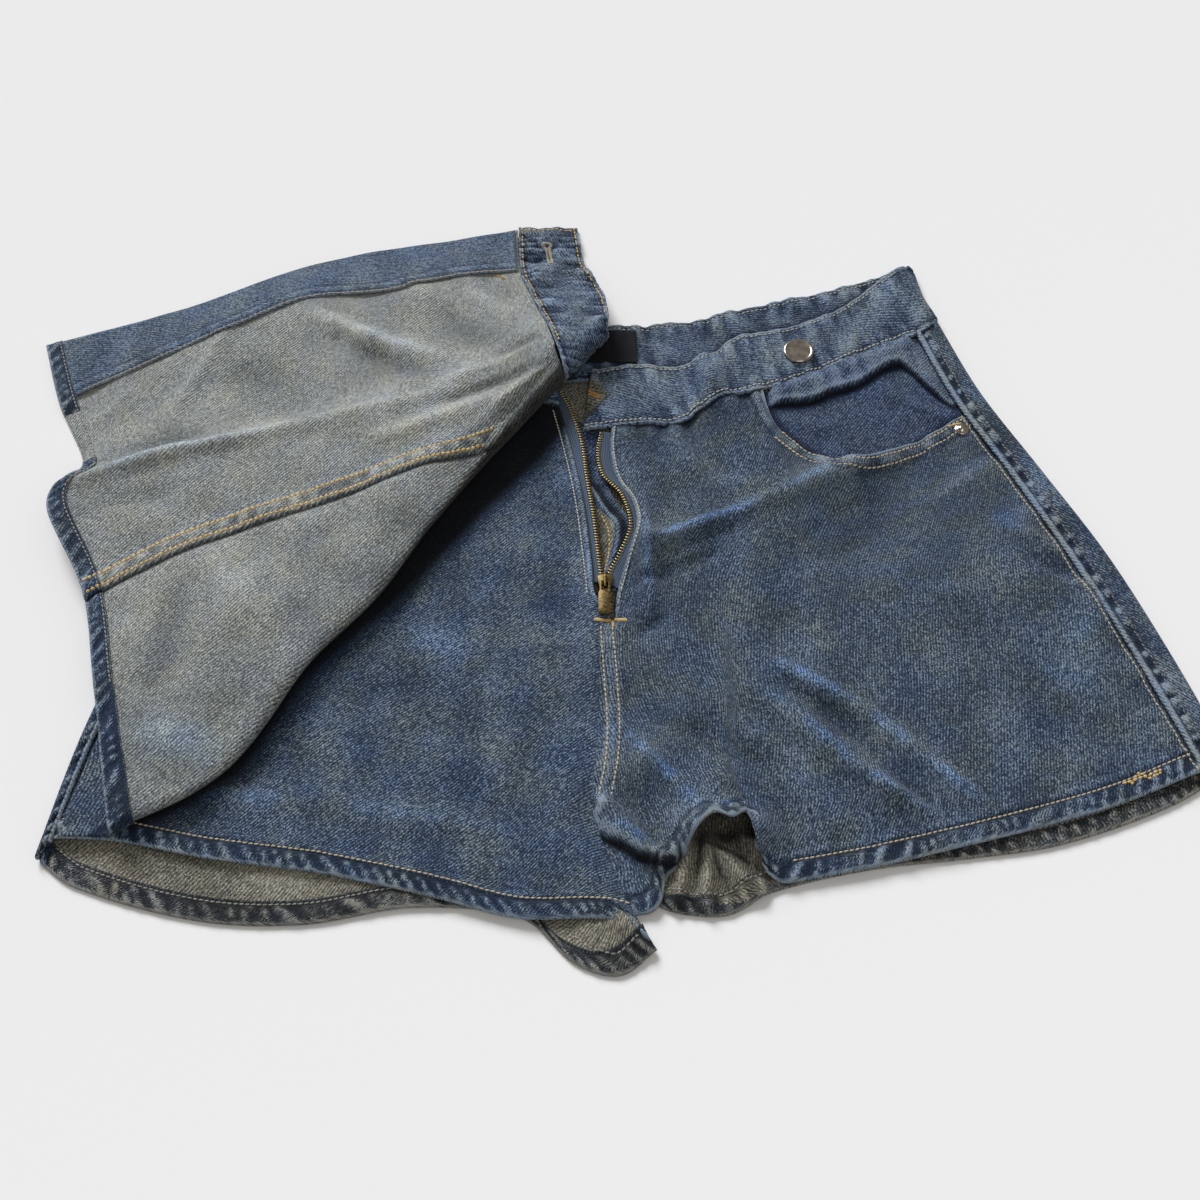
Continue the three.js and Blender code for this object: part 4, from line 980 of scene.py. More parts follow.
def frontBand(look):
    along = spacing(look["length"], look["coarse"])
    w = spacing(1, 1 / 24, 1 / 44, [(0, 0.1), (0.88, 1)])
    u, gridW = np.meshgrid(along / look["length"], w, indexing="ij")
    foot, top = curve(look["foot"])(u), curve(look["edge"])(u)
    place = foot + (top - foot) * (look["lap"] + gridW * (1 - look["lap"]))[..., None]
    x, y = place[..., 0], place[..., 1]
    run = runs(place, 0)
    height, wearAndShade = bandRipples(run, gridW, bandWidth, look["seed"])
    z = frontUnderside(x, y) + 0.5 + bandCloth / 2 + height + foldHeight(look["creases"], x, y)
    z -= 3.4 * (1 - smooth(run / 5)) ** 2
    points = np.stack([x, y, z], axis=-1)
    # painted highlight on the band's creases and painted shade in their hollows
    wearAndShade = wearAndShade + 0.2 * foldHeight(look["creases"], x, y) / 2
    # painted highlight along the top edge
    wearAndShade = wearAndShade + look["topEdgeHighlight"] * bell((1 - gridW) * bandWidth, 1.6)
    weave = np.stack([gridW * bandWidth, run], axis=-1)
    # a wedge of the inside shows at the end, where the two layers part, with painted shade in it
    wedge = look["parted"] - 1.1 * np.abs(bandWidth * gridW - 18) - (run[-1:] - run)
    crest = -0.9 * bell(wedge, 1.6) - 0.3 * smooth(wedge / 2)
    parted = np.where(wedge > 0, 2, 0)
    points[..., 2] -= 0.9 * smooth(wedge / 2.5)
    if look["flip"]:
        points, weave, wearAndShade, crest, parted = backwards(points, weave, wearAndShade, crest, parted)
    sides = [look["material"], look["material"], shadedReverseDenim, shadedReverseDenim]
    return makeCloth(look["name"], points, weave, wearAndShade, 2.4, sides, bevel=0.9, crest=crest, zone=parted)


bandRight = {
    "name": "waistbandRight", "foot": [(212.5, 207)] + rightBandFoot, "edge": [(199.5, 254.5)] + rightBandTop,
    "length": 246, "coarse": 2.0, "seed": 61, "lap": -0.03, "parted": 13, "flip": True,
    "material": facingDenim, "flat": (0.24, 0.042),
    # strength of the painted highlight along the top edge, then the creases
    "topEdgeHighlight": 0.9, "creases": [
        (62, 184, 70, 150, 4.5, 3.0, 0.4), (76, 188, 60, 162, 4, -1.8, 0.4), (84, 180, 92, 158, 5, 1.5, 0.5),
        (44, 160, 58, 140, 5, 1.4, 0.5), (30, 158, 8, 150, 6, 1.2, 0.5),
    ],
}
bandLeft = {
    "name": "waistbandLeft", "foot": [(-207, 178)] + leftBandFoot, "edge": [(-212, 221.5)] + leftBandTop,
    "length": 190, "coarse": 2.4, "seed": 67, "lap": 0.012, "parted": -9, "flip": False,
    "material": facingDenim, "flat": (0.18, 0.042), "topEdgeHighlight": 0, "creases": [],
}
rightBand = frontBand(bandRight)
declare(rightBand, ["waistband_front_right"])
leftBand = frontBand(bandLeft)
declare(leftBand, ["waistband_front_left"])

# The back waistband lies inside up and both its ends roll over to meet the front ones.
bandBack = {"length": 428, "wrap": 9.0, "flat": (0.46, 0.045), "seed": 71}
w = spacing(1, 1 / 22, 1 / 40, [(0, 0.1), (0.88, 1)])
footLine, topLine = curve(backBandFoot), curve(backBandTop)
stations = []


def bandAcross(t):
    foot, top = footLine(np.full(len(w), t)), topLine(np.full(len(w), t))
    return foot + (top - foot) * w[:, None]


def bandEnd(t, share):
    edge, inside = bandAcross(t), bandAcross(0.98 if t else 0.02)
    towards = (inside - edge) / np.linalg.norm(inside - edge, axis=1, keepdims=True)
    half = bandCloth / 2
    if share < 0.3:
        away = bandBack["wrap"] - (bandBack["wrap"] - sideRoll) * share / 0.3
        return raised(edge + towards * away, sideTop - half)
    return rolledEdge(edge, towards, half, math.pi * (share - 0.3) / 0.7)


endShares = [0.42, 0.5, 0.6, 0.7, 0.8, 0.9]
for share in endShares:
    stations.append(bandEnd(0, share))
start = sideRoll / bandBack["length"]
for t in start + (1 - 2 * start) * spacing(1, 2.0 / bandBack["length"]):
    stations.append(raised(bandAcross(t), bandCloth / 2))
for share in endShares[::-1]:
    stations.append(bandEnd(1, share))
points = np.stack(stations)
run = runs(points, 0)
gridW = np.broadcast_to(w, run.shape)
height, wearAndShade = bandRipples(run, gridW, 44, bandBack["seed"], 1.7)
wearAndShade *= 1.4
upright = smooth((gridW - 0.35) / 0.6) * smooth((run - 60) / 60) * smooth((run[-1:] - run - 60) / 60)
normal = upNormals(points, slice(60, -60))
points = points + normal * (height - 0.1)[..., None]
points[..., 2] += 3.2 * upright
points[..., 2] = np.maximum(points[..., 2], 1.25)
weave = np.stack([gridW * 42, run], axis=-1)
# painted shadow on the back band just behind the top edge of the right front band
away, _, _ = lineAway(points, drawn(rightBandTop, 80))
wearAndShade -= 0.9 * bell(away, 5.0)
crest = -0.8 * bell(away, 2.6)
points, weave, wearAndShade, crest = backwards(points, weave, wearAndShade - 0.1, crest)
backBand = makeCloth("waistbandBack", points, weave, wearAndShade, 2.3, [facingDenim], bevel=0.8, crest=crest)
declare(backBand, ["waistband_back"])
print("waistbands laid")


# The flap. Sections from the hem to the waist, each from the free edge over to the fold and back under to
# the seam.
flapSections = [
    {"free": (-349, 190, 1.2), "facing": (-332, 142, 2), "dip": (-308, 90, 4), "crest": (-321, 57, 17),
     "seam": (-291, -2, 12), "low": (-273, -68, 14), "fold": (-252, -150), "radius": 4.5},
    {"free": (-302, 207, 1.5), "facing": (-287, 169, 3), "dip": (-270, 104, 7), "crest": (-270, 82, 17),
     "seam": (-246, 26, 15), "low": (-225, -48, 16), "fold": (-197, -116), "radius": 5.5},
    {"free": (-254, 225, 3), "facing": (-236, 193, 10.5), "dip": (-220, 118, 11.5), "crest": (-219, 96, 18),
     "seam": (-202, 47, 16), "low": (-184, -10, 17), "fold": (-160, -52), "radius": 6},
    {"free": (-204, 247, 6.5), "facing": (-187, 216, 14.5), "dip": (-174, 139, 13.5), "crest": (-170, 111, 19),
     "seam": (-160, 66, 18), "low": (-145, 22, 19), "fold": (-125, -8), "radius": 7},
    {"free": (-154, 265, 6), "facing": (-137, 224, 13), "dip": (-126, 157, 15), "crest": (-121, 128, 21),
     "seam": (-116, 96, 21), "low": (-109, 74, 22), "fold": (-95, 45), "radius": 7},
    {"free": (-102, 276, 6), "facing": (-93, 237, 13), "dip": (-80, 183, 18), "crest": (-72, 145, 24),
     "seam": (-72, 118, 26), "low": (-70, 108, 27), "fold": (-62, 93), "radius": 8},
    {"free": (-54, 291, 2.5), "facing": (-51, 248, 7), "dip": (-39, 208, 18), "crest": (-33, 188, 26),
     "seam": (-28, 171, 30), "low": (-27, 164, 31), "fold": (-21, 147), "radius": 10.5},
]
overColumns = ["free", "facing", "dip", "crest", "seam", "low"]
flapCreases = [
    (-178, 202, -145, 186, 6.3, 4.42, 0.3), (-145, 186, -100, 168, 6.3, 3.74, 0.4),
    (-160, 182, -112, 155, 7.2, -2.72, 0.5), (-262, 132, -233, 197, 5.4, 1.87, 0.5),
    (-130, 102, -62, 127, 6.3, 4.08, 0.5), (-255, -95, -190, -110, 8.1, 3.4, 0.5),
    (-286, 100, -240, 112, 7.2, -3.06, 0.5), (-232, 160, -190, 150, 11.7, -3.06, 0.5),
    (-84, 226, -60, 205, 6.3, 2.55, 0.5), (-100, 206, -70, 176, 7.2, -2.38, 0.5),
    (-215, 10, -180, -30, 10.8, 2.55, 0.5), (-170, 30, -140, 40, 8.1, -2.21, 0.5),
    (-236, -10, -240, -70, 9, -2.38, 0.5), (-100, 140, -44, 166, 4.0, 3.2, 0.5),
    (-90, 128, -36, 152, 4.2, -3.4, 0.5), (-76, 150, -38, 176, 4.0, -2.4, 0.5),
    (-60, 122, -30, 150, 4.0, 2.6, 0.5), (-298, 84, -190, 112, 4.5, 2.38, 0.4),
    (-190, 112, -88, 136, 4.5, 2.04, 0.4), (-300, 60, -250, 64, 9, -1.7, 0.5),
    (-308, 128, -290, 152, 5.4, 1.7, 0.4), (-130, 240, -110, 222, 5.4, 1.7, 0.4),
]


def flapUnderside(x, y):
    return frontUnderside(x, y) + hemCloth + 0.5 + 0.6 * smooth((y - 90) / 40)


columnCurves = {column: rowCurve([row[column] for row in flapSections]) for column in overColumns + ["fold"]}
radiusCurve = rowCurve([(row["radius"],) for row in flapSections])
leftSeam = curve(edgeLine(leftEdges, "seam"))


def between(a, b, share):
    return mix(np.array(a, float), np.array(b, float), share)


def unit(a, b):
    away = b[..., :2] - a[..., :2]
    return away / np.linalg.norm(away, axis=-1, keepdims=True)


hang = {"tuck": 2.2, "drop": 0.5}


def rolledOver(over, fold, side, radius, t, floorAt):
    # t is 0 to last over the table of points, then one step round the roll and one underneath
    last = len(over)
    towards = (unit(fold, over[-1]), unit(fold, side))
    start = fold + hang["tuck"] * radius * towards[1]
    floor = floorAt(start[..., 0], start[..., 1])
    top = raised(fold + radius * towards[0], floor + 2 * radius[..., 0])
    table = np.stack(over + [top])
    s = np.clip(t, 0, last)
    i = np.minimum(np.floor(s).astype(int), last - 1)
    columns = np.arange(len(t))

    def row(index):
        return table[np.clip(index, 0, last), columns]

    lying = throughFour(row(i - 1), row(i), row(i + 1), row(i + 2), (s - i)[..., None])
    turn = math.pi * np.clip(t - last, 0, 1)
    outer = turn < math.pi / 2
    out = radius[..., 0] * (1 - np.sin(turn)) * np.where(outer, 1, hang["tuck"])
    way = mix(towards[0], towards[1], smooth(t - last)[..., None])
    height = np.where(
        outer, 2 - hang["drop"] * (1 - np.cos(turn)), (2 - hang["drop"]) * (1 + np.cos(turn))) * radius[..., 0]
    rolling = raised(fold + out[..., None] * way, floor + height)
    share = np.clip(t - last - 1, 0, 1)[..., None]
    flat = mix(start, side, share)
    under = raised(flat, floorAt(flat[..., 0], flat[..., 1]))
    return np.where((t <= last)[..., None], lying, np.where((t <= last + 1)[..., None], rolling, under))


def flapSurface(v, t):
    radius = radiusCurve(v)
    over = [columnCurves[column](v) for column in overColumns]
    return rolledOver(
        over, columnCurves["fold"](v), leftSeam(v), radius, t, lambda x, y: flapUnderside(x, y) + cloth / 2)


def evenStations(surface, rowValues, stops, counts, samples):
    # re-spaces each row by true distance between stops, given as places in t or as millimetres from one
    grid = []
    for v in rowValues:
        line = surface(np.full(len(samples), v), samples)
        at = lengthAlong(line)
        marks = [np.interp(t, samples, at) + extra for t, extra in stops]
        marks = np.clip(marks, 0, at[-1])
        parts = [np.linspace(a, b, count, endpoint=False) for a, b, count in zip(marks, marks[1:], counts)]
        places = np.concatenate([*parts, marks[-1:]])
        grid.append(np.column_stack([
            placesOn(places, at, line), np.interp(places, at, samples), places - np.interp(4, samples, at)]))
    return np.stack(grid, axis=1)


flap = {
    "length": 375, "coarse": 2.7, "seam": 5.6, "seed": 83, "flat": (0.42, 0.40), "area": 0.142,
    "counts": [74, 20, 50, 18, 42],
    # brink: where the painted shade along the roll's edge begins, in t, from hem to waist
    "brink": [(0, 6.55), (0.5, 6.45), (0.7, 6.35), (0.8, 6.22), (0.87, 6.08), (1, 6.02)],
    "drift": [(0.33, 0), (0.5, 3), (0.667, 13), (0.75, 17), (0.833, 21), (0.9, 30), (1, 50)],
}


def seamDrift(v):
    return np.interp(v, *zip(*flap["drift"]))


rows = spacing(flap["length"], flap["coarse"], 1.0, [(0, 17)])
samples = np.concatenate([np.linspace(0, 6, 241), np.linspace(6, 7, 41)[1:], np.linspace(7, 8, 61)[1:]])
stops = [(0, 0), (4, -9), (4, 9), (6, 0), (7, 0), (8, -3)]
grid = evenStations(flapSurface, np.clip(rows / flap["length"], 0, 0.998), stops, flap["counts"], samples)
points, t, acrossFlap = grid[..., :3].copy(), grid[..., 3], grid[..., 4]
fromSeam = acrossFlap - seamDrift(rows / flap["length"])[None, :]
over = 1 - smooth((t - 5.3) / 0.5)
x, y = points[..., 0], points[..., 1]
ridgeLine = [(-335, 66), (-299, 80), (-263, 92), (-191, 110), (-132, 119), (-88, 134), (-40, 158)]
away, _, left = lineAway(points, ridgeLine)
fromRidge = -away * left
ridgeShape = (np.where(fromRidge < 0, 3.4 * bell(fromRidge, 17), 3.4 * bell(fromRidge, 5.5))
              - 1.6 * bell(fromRidge - 12, 8) - 1.4 * bell(fromRidge + 34, 20))
ridgeFade = 1 - 0.85 * smooth((x + 250) / 90)
ridgeShape *= ridgeFade
points[..., 2] += over * (foldHeight(flapCreases, x, y) + ridgeShape)
uneven = 0.55 * softNoise(x, y, 60, flap["seed"]) + 0.25 * softNoise(x, y, 24, flap["seed"] + 1)
normal = upNormals(points, slice(40))
shade = smooth((t - 0.3) / 0.8) * (1 - smooth((t - 6) / 1))
points = points + normal * (uneven * shade)[..., None]
along = -runs(points, 1, -1)
pucker = np.clip(softNoise(along, 0, 9, flap["seed"] + 2), -1, 1)
half = flap["seam"]
felled = smooth((fromSeam + half + 0.6) / 1.0) * (1 - smooth((fromSeam - half + 0.6) / 1.2))
shown = 1 - smooth((t - 6.2) / 0.4)
seamHeight = (felled * 1.7 - 0.6 * (bell(fromSeam + 4.0, 1.0) + bell(fromSeam - 3.8, 1.0))
              + 0.8 * pucker * bell(fromSeam, 3) - 0.8 * bell(fromSeam - half - 1.8, 1.5))
points = points + normal * (seamHeight * shown)[..., None]
points[..., 2] = np.where(t < 5, np.maximum(points[..., 2], 1.25), points[..., 2])
normal = upNormals(points, slice(40))
columnT = t[:, 0]
tuckUnder = smooth((columnT - 1.12) / 0.12) * (1 - smooth((columnT - 1.82) / 0.12))
placed, q, s, hemWear = turnHem(points, normal, rows, True, flap["seed"] + 5, side=1 - 2 * tuckUnder)
placed[..., 2] = np.maximum(placed[..., 2], 0.65)
j = np.clip(np.searchsorted(rows, s[0]), 0, len(rows) - 1)
# painted highlight on the crease ridges and painted shade in their troughs, with random tone
wearAndShade = 0.16 * foldHeight(flapCreases, x, y) * over + 0.12 * softNoise(x, y, 45, flap["seed"] + 3)
# lighter puckers on the felled seam, and a painted shadow line under its edge
wearAndShade += (felled * shown * (0.6 * pucker * bell(fromSeam, 3) - 0.05)
         - 1.1 * shown * bell(fromSeam - half - 0.7, 0.8))
# painted shade: darker from the seam towards the roll, darkest on the roll's underside
rollShadeMask = 1 - smooth((t - 7.05) / 0.15)
wearAndShade -= (0.8 * smooth((t - 6.5) / 0.2) + 0.42 * smooth((t - 4.5) / 1.0)) * rollShadeMask
# painted shade: a dark band along the roll's edge and under the felled seam
brink = np.interp(rows / flap["length"], *zip(*flap["brink"]))[None, :]
paintedShade = smooth((t - brink) / 0.12) * rollShadeMask + 0.6 * bell(fromSeam - half - 0.9, 0.8) * shown
# painted shade on the near side of the ridge
wearAndShade -= 0.14 * over * ridgeFade * smooth((fromRidge - 1) / 5) * (1 - smooth((fromRidge - 22) / 10))
# painted blue highlight along the ridge, beside the seam and on two more ridges
crest = over * (0.6 * bell(fromRidge + 0.5, 2.6) * ridgeFade + 0.35 * bell(fromSeam + half + 2.5, 2.5) * shown)
crest += foldHeight([(-250, -92, -196, -108, 11, 1, 1), (-178, 204, -100, 170, 4, 0.5, 1)], x, y)
wearAndShade = wearAndShade[:, j] + hemWear
crest = (crest - paintedShade)[:, j] * (q > 12)[None, :]
weave = np.stack([acrossFlap[:, j], q[None, :] + np.zeros_like(wearAndShade)], axis=-1)
flapPiece = makeCloth("flap", placed, weave, wearAndShade, 1.1, [reverseDenim, faceDenim], crest=crest)
declare(flapPiece, ["flap_front_panel", "flap_side_panel"])
print("flap folded over")

# Facing strip on the flap's reverse, along its free edge, with a raised seam near its lower edge.
facing = {"length": 375, "flat": (0.045, 0.375), "seed": 91, "ridge": 8.0}
facingRows = spacing(facing["length"] * 0.99 - 12, 2.4) + 12.5
samples = np.linspace(0, 1.3, 90)
stops = [(0, 0), (0, 3), (1, -11), (1, 0)]
grid = evenStations(flapSurface, facingRows / facing["length"], stops, [5, 14, 14], samples)
points = grid[..., :3].copy()
x, y = points[..., 0], points[..., 1]
points[..., 2] += foldHeight(flapCreases, x, y)
away, _, left = lineAway(points, ridgeLine)
points[..., 2] -= 1.4 * bell(34 - away * left, 20)
normal = upNormals(points)
fromEdge, fromLow = runs(points, 0), -runs(points, 0, -1)
along = runs(points, 1)
pucker = np.clip(softNoise(along, 0.3 * fromEdge, 12, facing["seed"]), -1, 1)
lift = (1.35 * smooth(fromEdge / 2.5) - 0.5 * (1 - smooth(fromLow / 1.0))
        + 0.55 * (1 - smooth((fromLow - facing["ridge"]) / 1.2))
        - 0.35 * bell(fromLow - facing["ridge"] + 1.6, 0.8))
lift += 0.25 * pucker * bell(fromLow - 4, 4) + 0.3 * softNoise(x, y, 50, facing["seed"] + 1)
points = points + normal * (lift + 0.35)[..., None]
points[..., 2] = np.maximum(points[..., 2], 1.9)
# pale lower edge, seam ridge and free edge, random tone, a darker line near the lower edge, and painted shade
# along the crease above the ridge
wearAndShade = (0.9 * bell(fromLow, 1.0) - 0.5 * bell(fromLow - 3.0, 1.0)
        + 0.5 * bell(fromLow - facing["ridge"] + 1, 1.0))
wearAndShade += 0.35 * pucker * bell(fromLow - 5, 3) - 0.6 * bell(fromLow - facing["ridge"] - 1.2, 1.0)
wearAndShade += 0.4 * bell(fromEdge, 1.2) + 0.1 * softNoise(x, y, 30, facing["seed"] + 2)
weave = np.stack([fromEdge, along], axis=-1)
facingPiece = makeCloth("flapFacing", points, weave, wearAndShade, 0.9, [facingDenim, reverseDenim])
declare(facingPiece, ["flap_facing"])

# The flap's waistband: the free tab lies beyond the waist, then the band climbs, rolls over and goes under.
flapBandRows = [
    {"seam": (-54, 291.5, 2), "top": (-15, 293, 1.8)},
    {"seam": (-51, 248, 7), "top": (-10, 258, 4)},
    {"seam": (-39, 208, 18), "top": (0, 232, 11)},
    {"seam": (-33, 188, 26), "top": (4, 212, 18)},
    {"seam": (-26, 165, 31), "top": (5, 196, 25)},
]
flapBand = {
    "folds": ((-21, 147), (5, 180)), "radius": 10.5, "ends": ((-190, 176), (-198, 212)), "clear": 0.2,
    "seed": 97, "flat": (0.40, 0.042), "slit": [(-34.7, 276), (-34.2, 268), (-32.2, 257)],
}
bandRows = spacing(1, 1 / 26, 1 / 50, [(0, 0.1), (0.4, 0.62), (0.88, 1)])


def flapBandSurface(w, t):
    over = [between(row["seam"], row["top"], w[:, None]) for row in flapBandRows]
    fold, side = between(*flapBand["folds"], w[:, None]), between(*flapBand["ends"], w[:, None])
    radius = np.full((len(w), 1), flapBand["radius"])
    floor = bandCloth / 2 + flapBand["clear"]
    return rolledOver(over, fold, side, radius, t, lambda x, y: flapUnderside(x, y) + floor)


samples = np.concatenate([np.linspace(0, 5, 161), np.linspace(5, 6, 41)[1:], np.linspace(6, 7, 61)[1:]])
stations = []
for w in bandRows:
    stations.append(flapBandSurface(np.full(len(samples), w), samples))
line = np.stack(stations, axis=1)
at = runs(line, 0)
middle = at[:, len(bandRows) // 2]
places = spacing(middle[-1], 2.0, 1.0, [(8, 42)])
k = np.interp(places, middle, np.arange(len(samples)))
low = np.minimum(np.floor(k).astype(int), len(samples) - 2)
points = line[low] + (line[low + 1] - line[low]) * (k - low)[:, None, None]
t = np.interp(k, np.arange(len(samples)), samples)[:, None]
run = runs(points, 0)
gridW = np.broadcast_to(bandRows, run.shape)
height, wearAndShade = bandRipples(run, gridW, bandWidth, flapBand["seed"], 1.3)
wearAndShade *= 1.25
normal = upNormals(points, slice(20))
endPad = 1 - smooth((run - 30) / 5)
height += (0.25 * endPad * softNoise(run, gridW * bandWidth, 9, 98)
           - 1.3 * bell(run - 33 + 6 * gridW, 3.2) * (t < 2))
height += 1.2 * bell(run - 62 + 10 * gridW, 6) - 1.1 * bell(run - 78 + 14 * gridW, 5)
wearAndShade = wearAndShade + 0.35 * endPad * softNoise(run, gridW * bandWidth, 7, 99)
# painted shade across the dip in the tab and in the buttonhole slit; pale end edge
wearAndShade = wearAndShade - 0.3 * bell(run - 33 + 6 * gridW, 3) + 0.3 * bell(run, 1.5)
slit = bell(lineAway(points, flapBand["slit"])[0], 1.0) * (t < 2)
wearAndShade -= 0.12 + 2.0 * slit
height -= 0.7 * slit
points = points + normal * height[..., None]
points[..., 2] = np.maximum(points[..., 2], 1.5)
weave = np.stack([gridW * bandWidth, run], axis=-1)
tab = makeCloth("flapWaistband", points, weave, wearAndShade, 2.3, [facingDenim], bevel=0.8)
declare(tab, ["flap_waistband"])
print("flap waistband rolled")

# Zip tapes: each from under its front's edge to the row of teeth.
flyRows = {
    "left": [
        {"cloth": (-25, 137), "teeth": (-18, 134), "z": 6.6},
        {"cloth": (-18, 108), "teeth": (-11, 110), "z": 6.4},
        {"cloth": (-13, 82), "teeth": (-7.5, 82), "z": 6.2},
        {"cloth": (-9, 52), "teeth": (-3.5, 54), "z": 6},
        {"cloth": (-5, 20), "teeth": (0, 20), "z": 5.6},
        {"cloth": (-3.5, 9), "teeth": (1.6, 8), "z": 5.6},
    ],
    "right": [
        {"cloth": (8, 118), "teeth": (1, 117), "z": 5.6},
        {"cloth": (8, 102), "teeth": (-1, 101), "z": 6.2},
        {"cloth": (11, 86), "teeth": (2, 84), "z": 7},
        {"cloth": (21, 64), "teeth": (13, 68), "z": 9},
        {"cloth": (25, 44), "teeth": (18, 46), "z": 9},
        {"cloth": (20, 24), "teeth": (11.5, 27), "z": 7},
        {"cloth": (15, 12), "teeth": (6.5, 17), "z": 5.8},
        {"cloth": (12, 4), "teeth": (3.6, 8), "z": 5.6},
    ],
}
zipLook = {"tuck": {"left": 4.5, "right": 4.0}, "pitch": 1.95, "tooth": (0.95, 2.9, 1.9), "bevel": 0.00028}


def zipSide(side):
    table = flyRows[side]
    if side == "left":
        table = [{"cloth": (-31, 151), "teeth": (-24, 149), "z": 6.4}] + table
    cloths = rowCurve([(*row["cloth"], row["z"]) for row in table])
    teeth = rowCurve([(*row["teeth"], row["z"]) for row in table])
    u = np.linspace(0, 1, 110)
    a, b = cloths(u), teeth(u)
    reach = np.linalg.norm(b[:, :2] - a[:, :2], axis=1)
    across = (b[:, :2] - a[:, :2]) / reach[:, None]
    columns = []
    for share in np.linspace(0, 1, 9):
        away = -zipLook["tuck"][side] + (reach + zipLook["tuck"][side]) * share
        place = a[:, :2] + across * away[:, None]
        low = frontUnderside(place[:, 0], place[:, 1]) - 0.7
        z = low + (b[:, 2] - low) * smooth(share * 1.3 - 0.3)
        columns.append(raised(place, z))
    points = np.stack(columns, axis=1)
    if side == "left":
        points = points[::-1]
    weave = np.stack([runs(points, 1), runs(points, 0)], axis=-1)
    tape = makeCloth(f"zipTape{side.capitalize()}", points, weave, np.zeros(points.shape[:2]), 0.7, [tapeCloth])
    declare(tape, [f"zip_tape_{side}"])

    line = teeth(np.linspace(0, 1, 600))
    at = lengthAlong(line)
    bm = bmesh.new()
    size = Matrix.Diagonal((*[mm * value for value in zipLook["tooth"]], 1))
    for k in range(int(at[-1] / zipLook["pitch"])):
        mark = (k + 0.5) * zipLook["pitch"]
        place, ahead = placesOn([mark, mark + 0.5], at, line)
        tangent = (Vector(ahead) - Vector(place)).normalized()
        out = Vector((0, 0, 1)).cross(tangent).normalized()
        up = tangent.cross(out)
        turn = Matrix((tangent, out, up)).transposed().to_4x4()
        bmesh.ops.create_cube(bm, size=1, matrix=Matrix.Translation(Vector(metres(place))) @ turn @ size)
    bmesh.ops.bevel(
        bm, geom=bm.edges[:], offset=zipLook["bevel"], segments=1, affect="EDGES", profile=0.5, material=-1)
    meshPiece(f"zipTeeth{side.capitalize()}", bm, teethBrass, f"zip_chain_{side}")


for side in flyRows:
    zipSide(side)

shield = {
    "flat": (0.028, 0.115), "left": [(-12, 2), (-18, 50), (-24, 112)],
    "right": [(9, 4), (17, 28), (21, 44), (17, 56), (10, 66), (5, 80), (4, 118)],
    "fold": [(-5, 78), (-1, 70), (4, 61), (9, 54), (11, 46), (9, 32), (3, 16)],
    "folds": [(2, 40, 9, 50, 4, 1.4, 0.3), (-4, 70, 2, 60, 4, -0.6, 0.3)],
}
u, v = np.meshgrid(np.linspace(0, 1, 48), np.linspace(0, 1, 110), indexing="ij")
place = curve(shield["left"])(v) * (1 - u)[..., None] + curve(shield["right"])(v) * u[..., None]
x, y = place[..., 0], place[..., 1] + 24 * smooth((v - 0.6) / 0.4) * (1 - u)
z = 2.1 + 0.9 * smooth((u - 0.7) / 0.3) + foldHeight(shield["folds"], x, y)
z = z + 0.3 * softNoise(x, y, 15, 13)
away, _, left = lineAway(np.stack([x, y], axis=-1), drawn(shield["fold"], 50))
signed = away * left
z = z + 0.5 * bell(u - 0.93, 0.05) + 1.3 * bell(signed + 1.0, 1.8) - 0.5 * smooth(signed / 1.5)
points = np.stack([x, y, z], axis=-1)
wearAndShade = 0.8 * bell(u - 1, 0.06) + 0.2 * softNoise(x, y, 12, 14) + 1.5 * bell(signed + 0.4, 1.0)
# painted shade on both sides of the lip's fold; the part under it takes the shaded copy of the reverse denim,
# painted shade too
crest = (-0.95 * smooth((signed - 0.5) / 1.0) * (1 - smooth((signed - 3.5) / 3))
         - 0.5 * smooth((-signed - 3.0) / 3))
under = (signed < -2.6) & (y < 62)
shieldPiece = makeCloth(
    "flyShield", points, place, wearAndShade - 0.1, 1.0, [pocketDenim, reverseDenim, shadedReverseDenim, reverseDenim],
    crest=crest, zone=2 * under)
declare(shieldPiece, ["fly_shield"])
print("zip and shield made")


# Stitches lie on whatever cloth is uppermost along their line.
bpy.context.view_layer.update()
depsgraph = bpy.context.evaluated_depsgraph_get()
surfaces = {name: BVHTree.FromObject(piece, depsgraph) for name, piece in pieces.items()}


def surfaceAt(names, x, y):
    start = Vector(metres((x, y, 90)))
    best = None
    for name in names:
        hit, normal, _, _ = surfaces[name].ray_cast(start, Vector((0, 0, -1)))
        if hit is not None and (best is None or hit.z > best[0].z):
            best = (hit, normal)
    return best


# Label: a plain black woven patch lying on the back waistband, with rounded edges.
label = {"low": ((-22, 175), (23, 174)), "high": ((-22, 200), (23, 199)), "flat": (0.045, 0.025)}
u, v = np.meshgrid(np.linspace(0, 1, 30), np.linspace(0, 1, 20), indexing="ij")
place = mix(between(*label["low"], u[..., None]), between(*label["high"], u[..., None]), v[..., None])
z = np.array([[surfaceAt(["waistbandBack"], *spot)[0].z * 1000 for spot in line] for line in place])
z = 0.5 * z + 0.5 * z.mean() + 1.1 + 0.12 * softNoise(place[..., 0], place[..., 1], 12, 15)
points = raised(place, z)
labelPiece = makeCloth("waistLabel", points, place, 0 * u, 0.5, [labelSatin], bevel=0.2)
declare(labelPiece, ["waist_label"])

stitchLook = {"pitch": 3.0, "length": 3.2, "width": 1.15, "height": 0.9, "sink": 0.02, "lean": 0.12}
closeLook = {"width": 0.75, "height": 0.8, "pitch": 0.55, "lean": 0.25, "seed": 3}


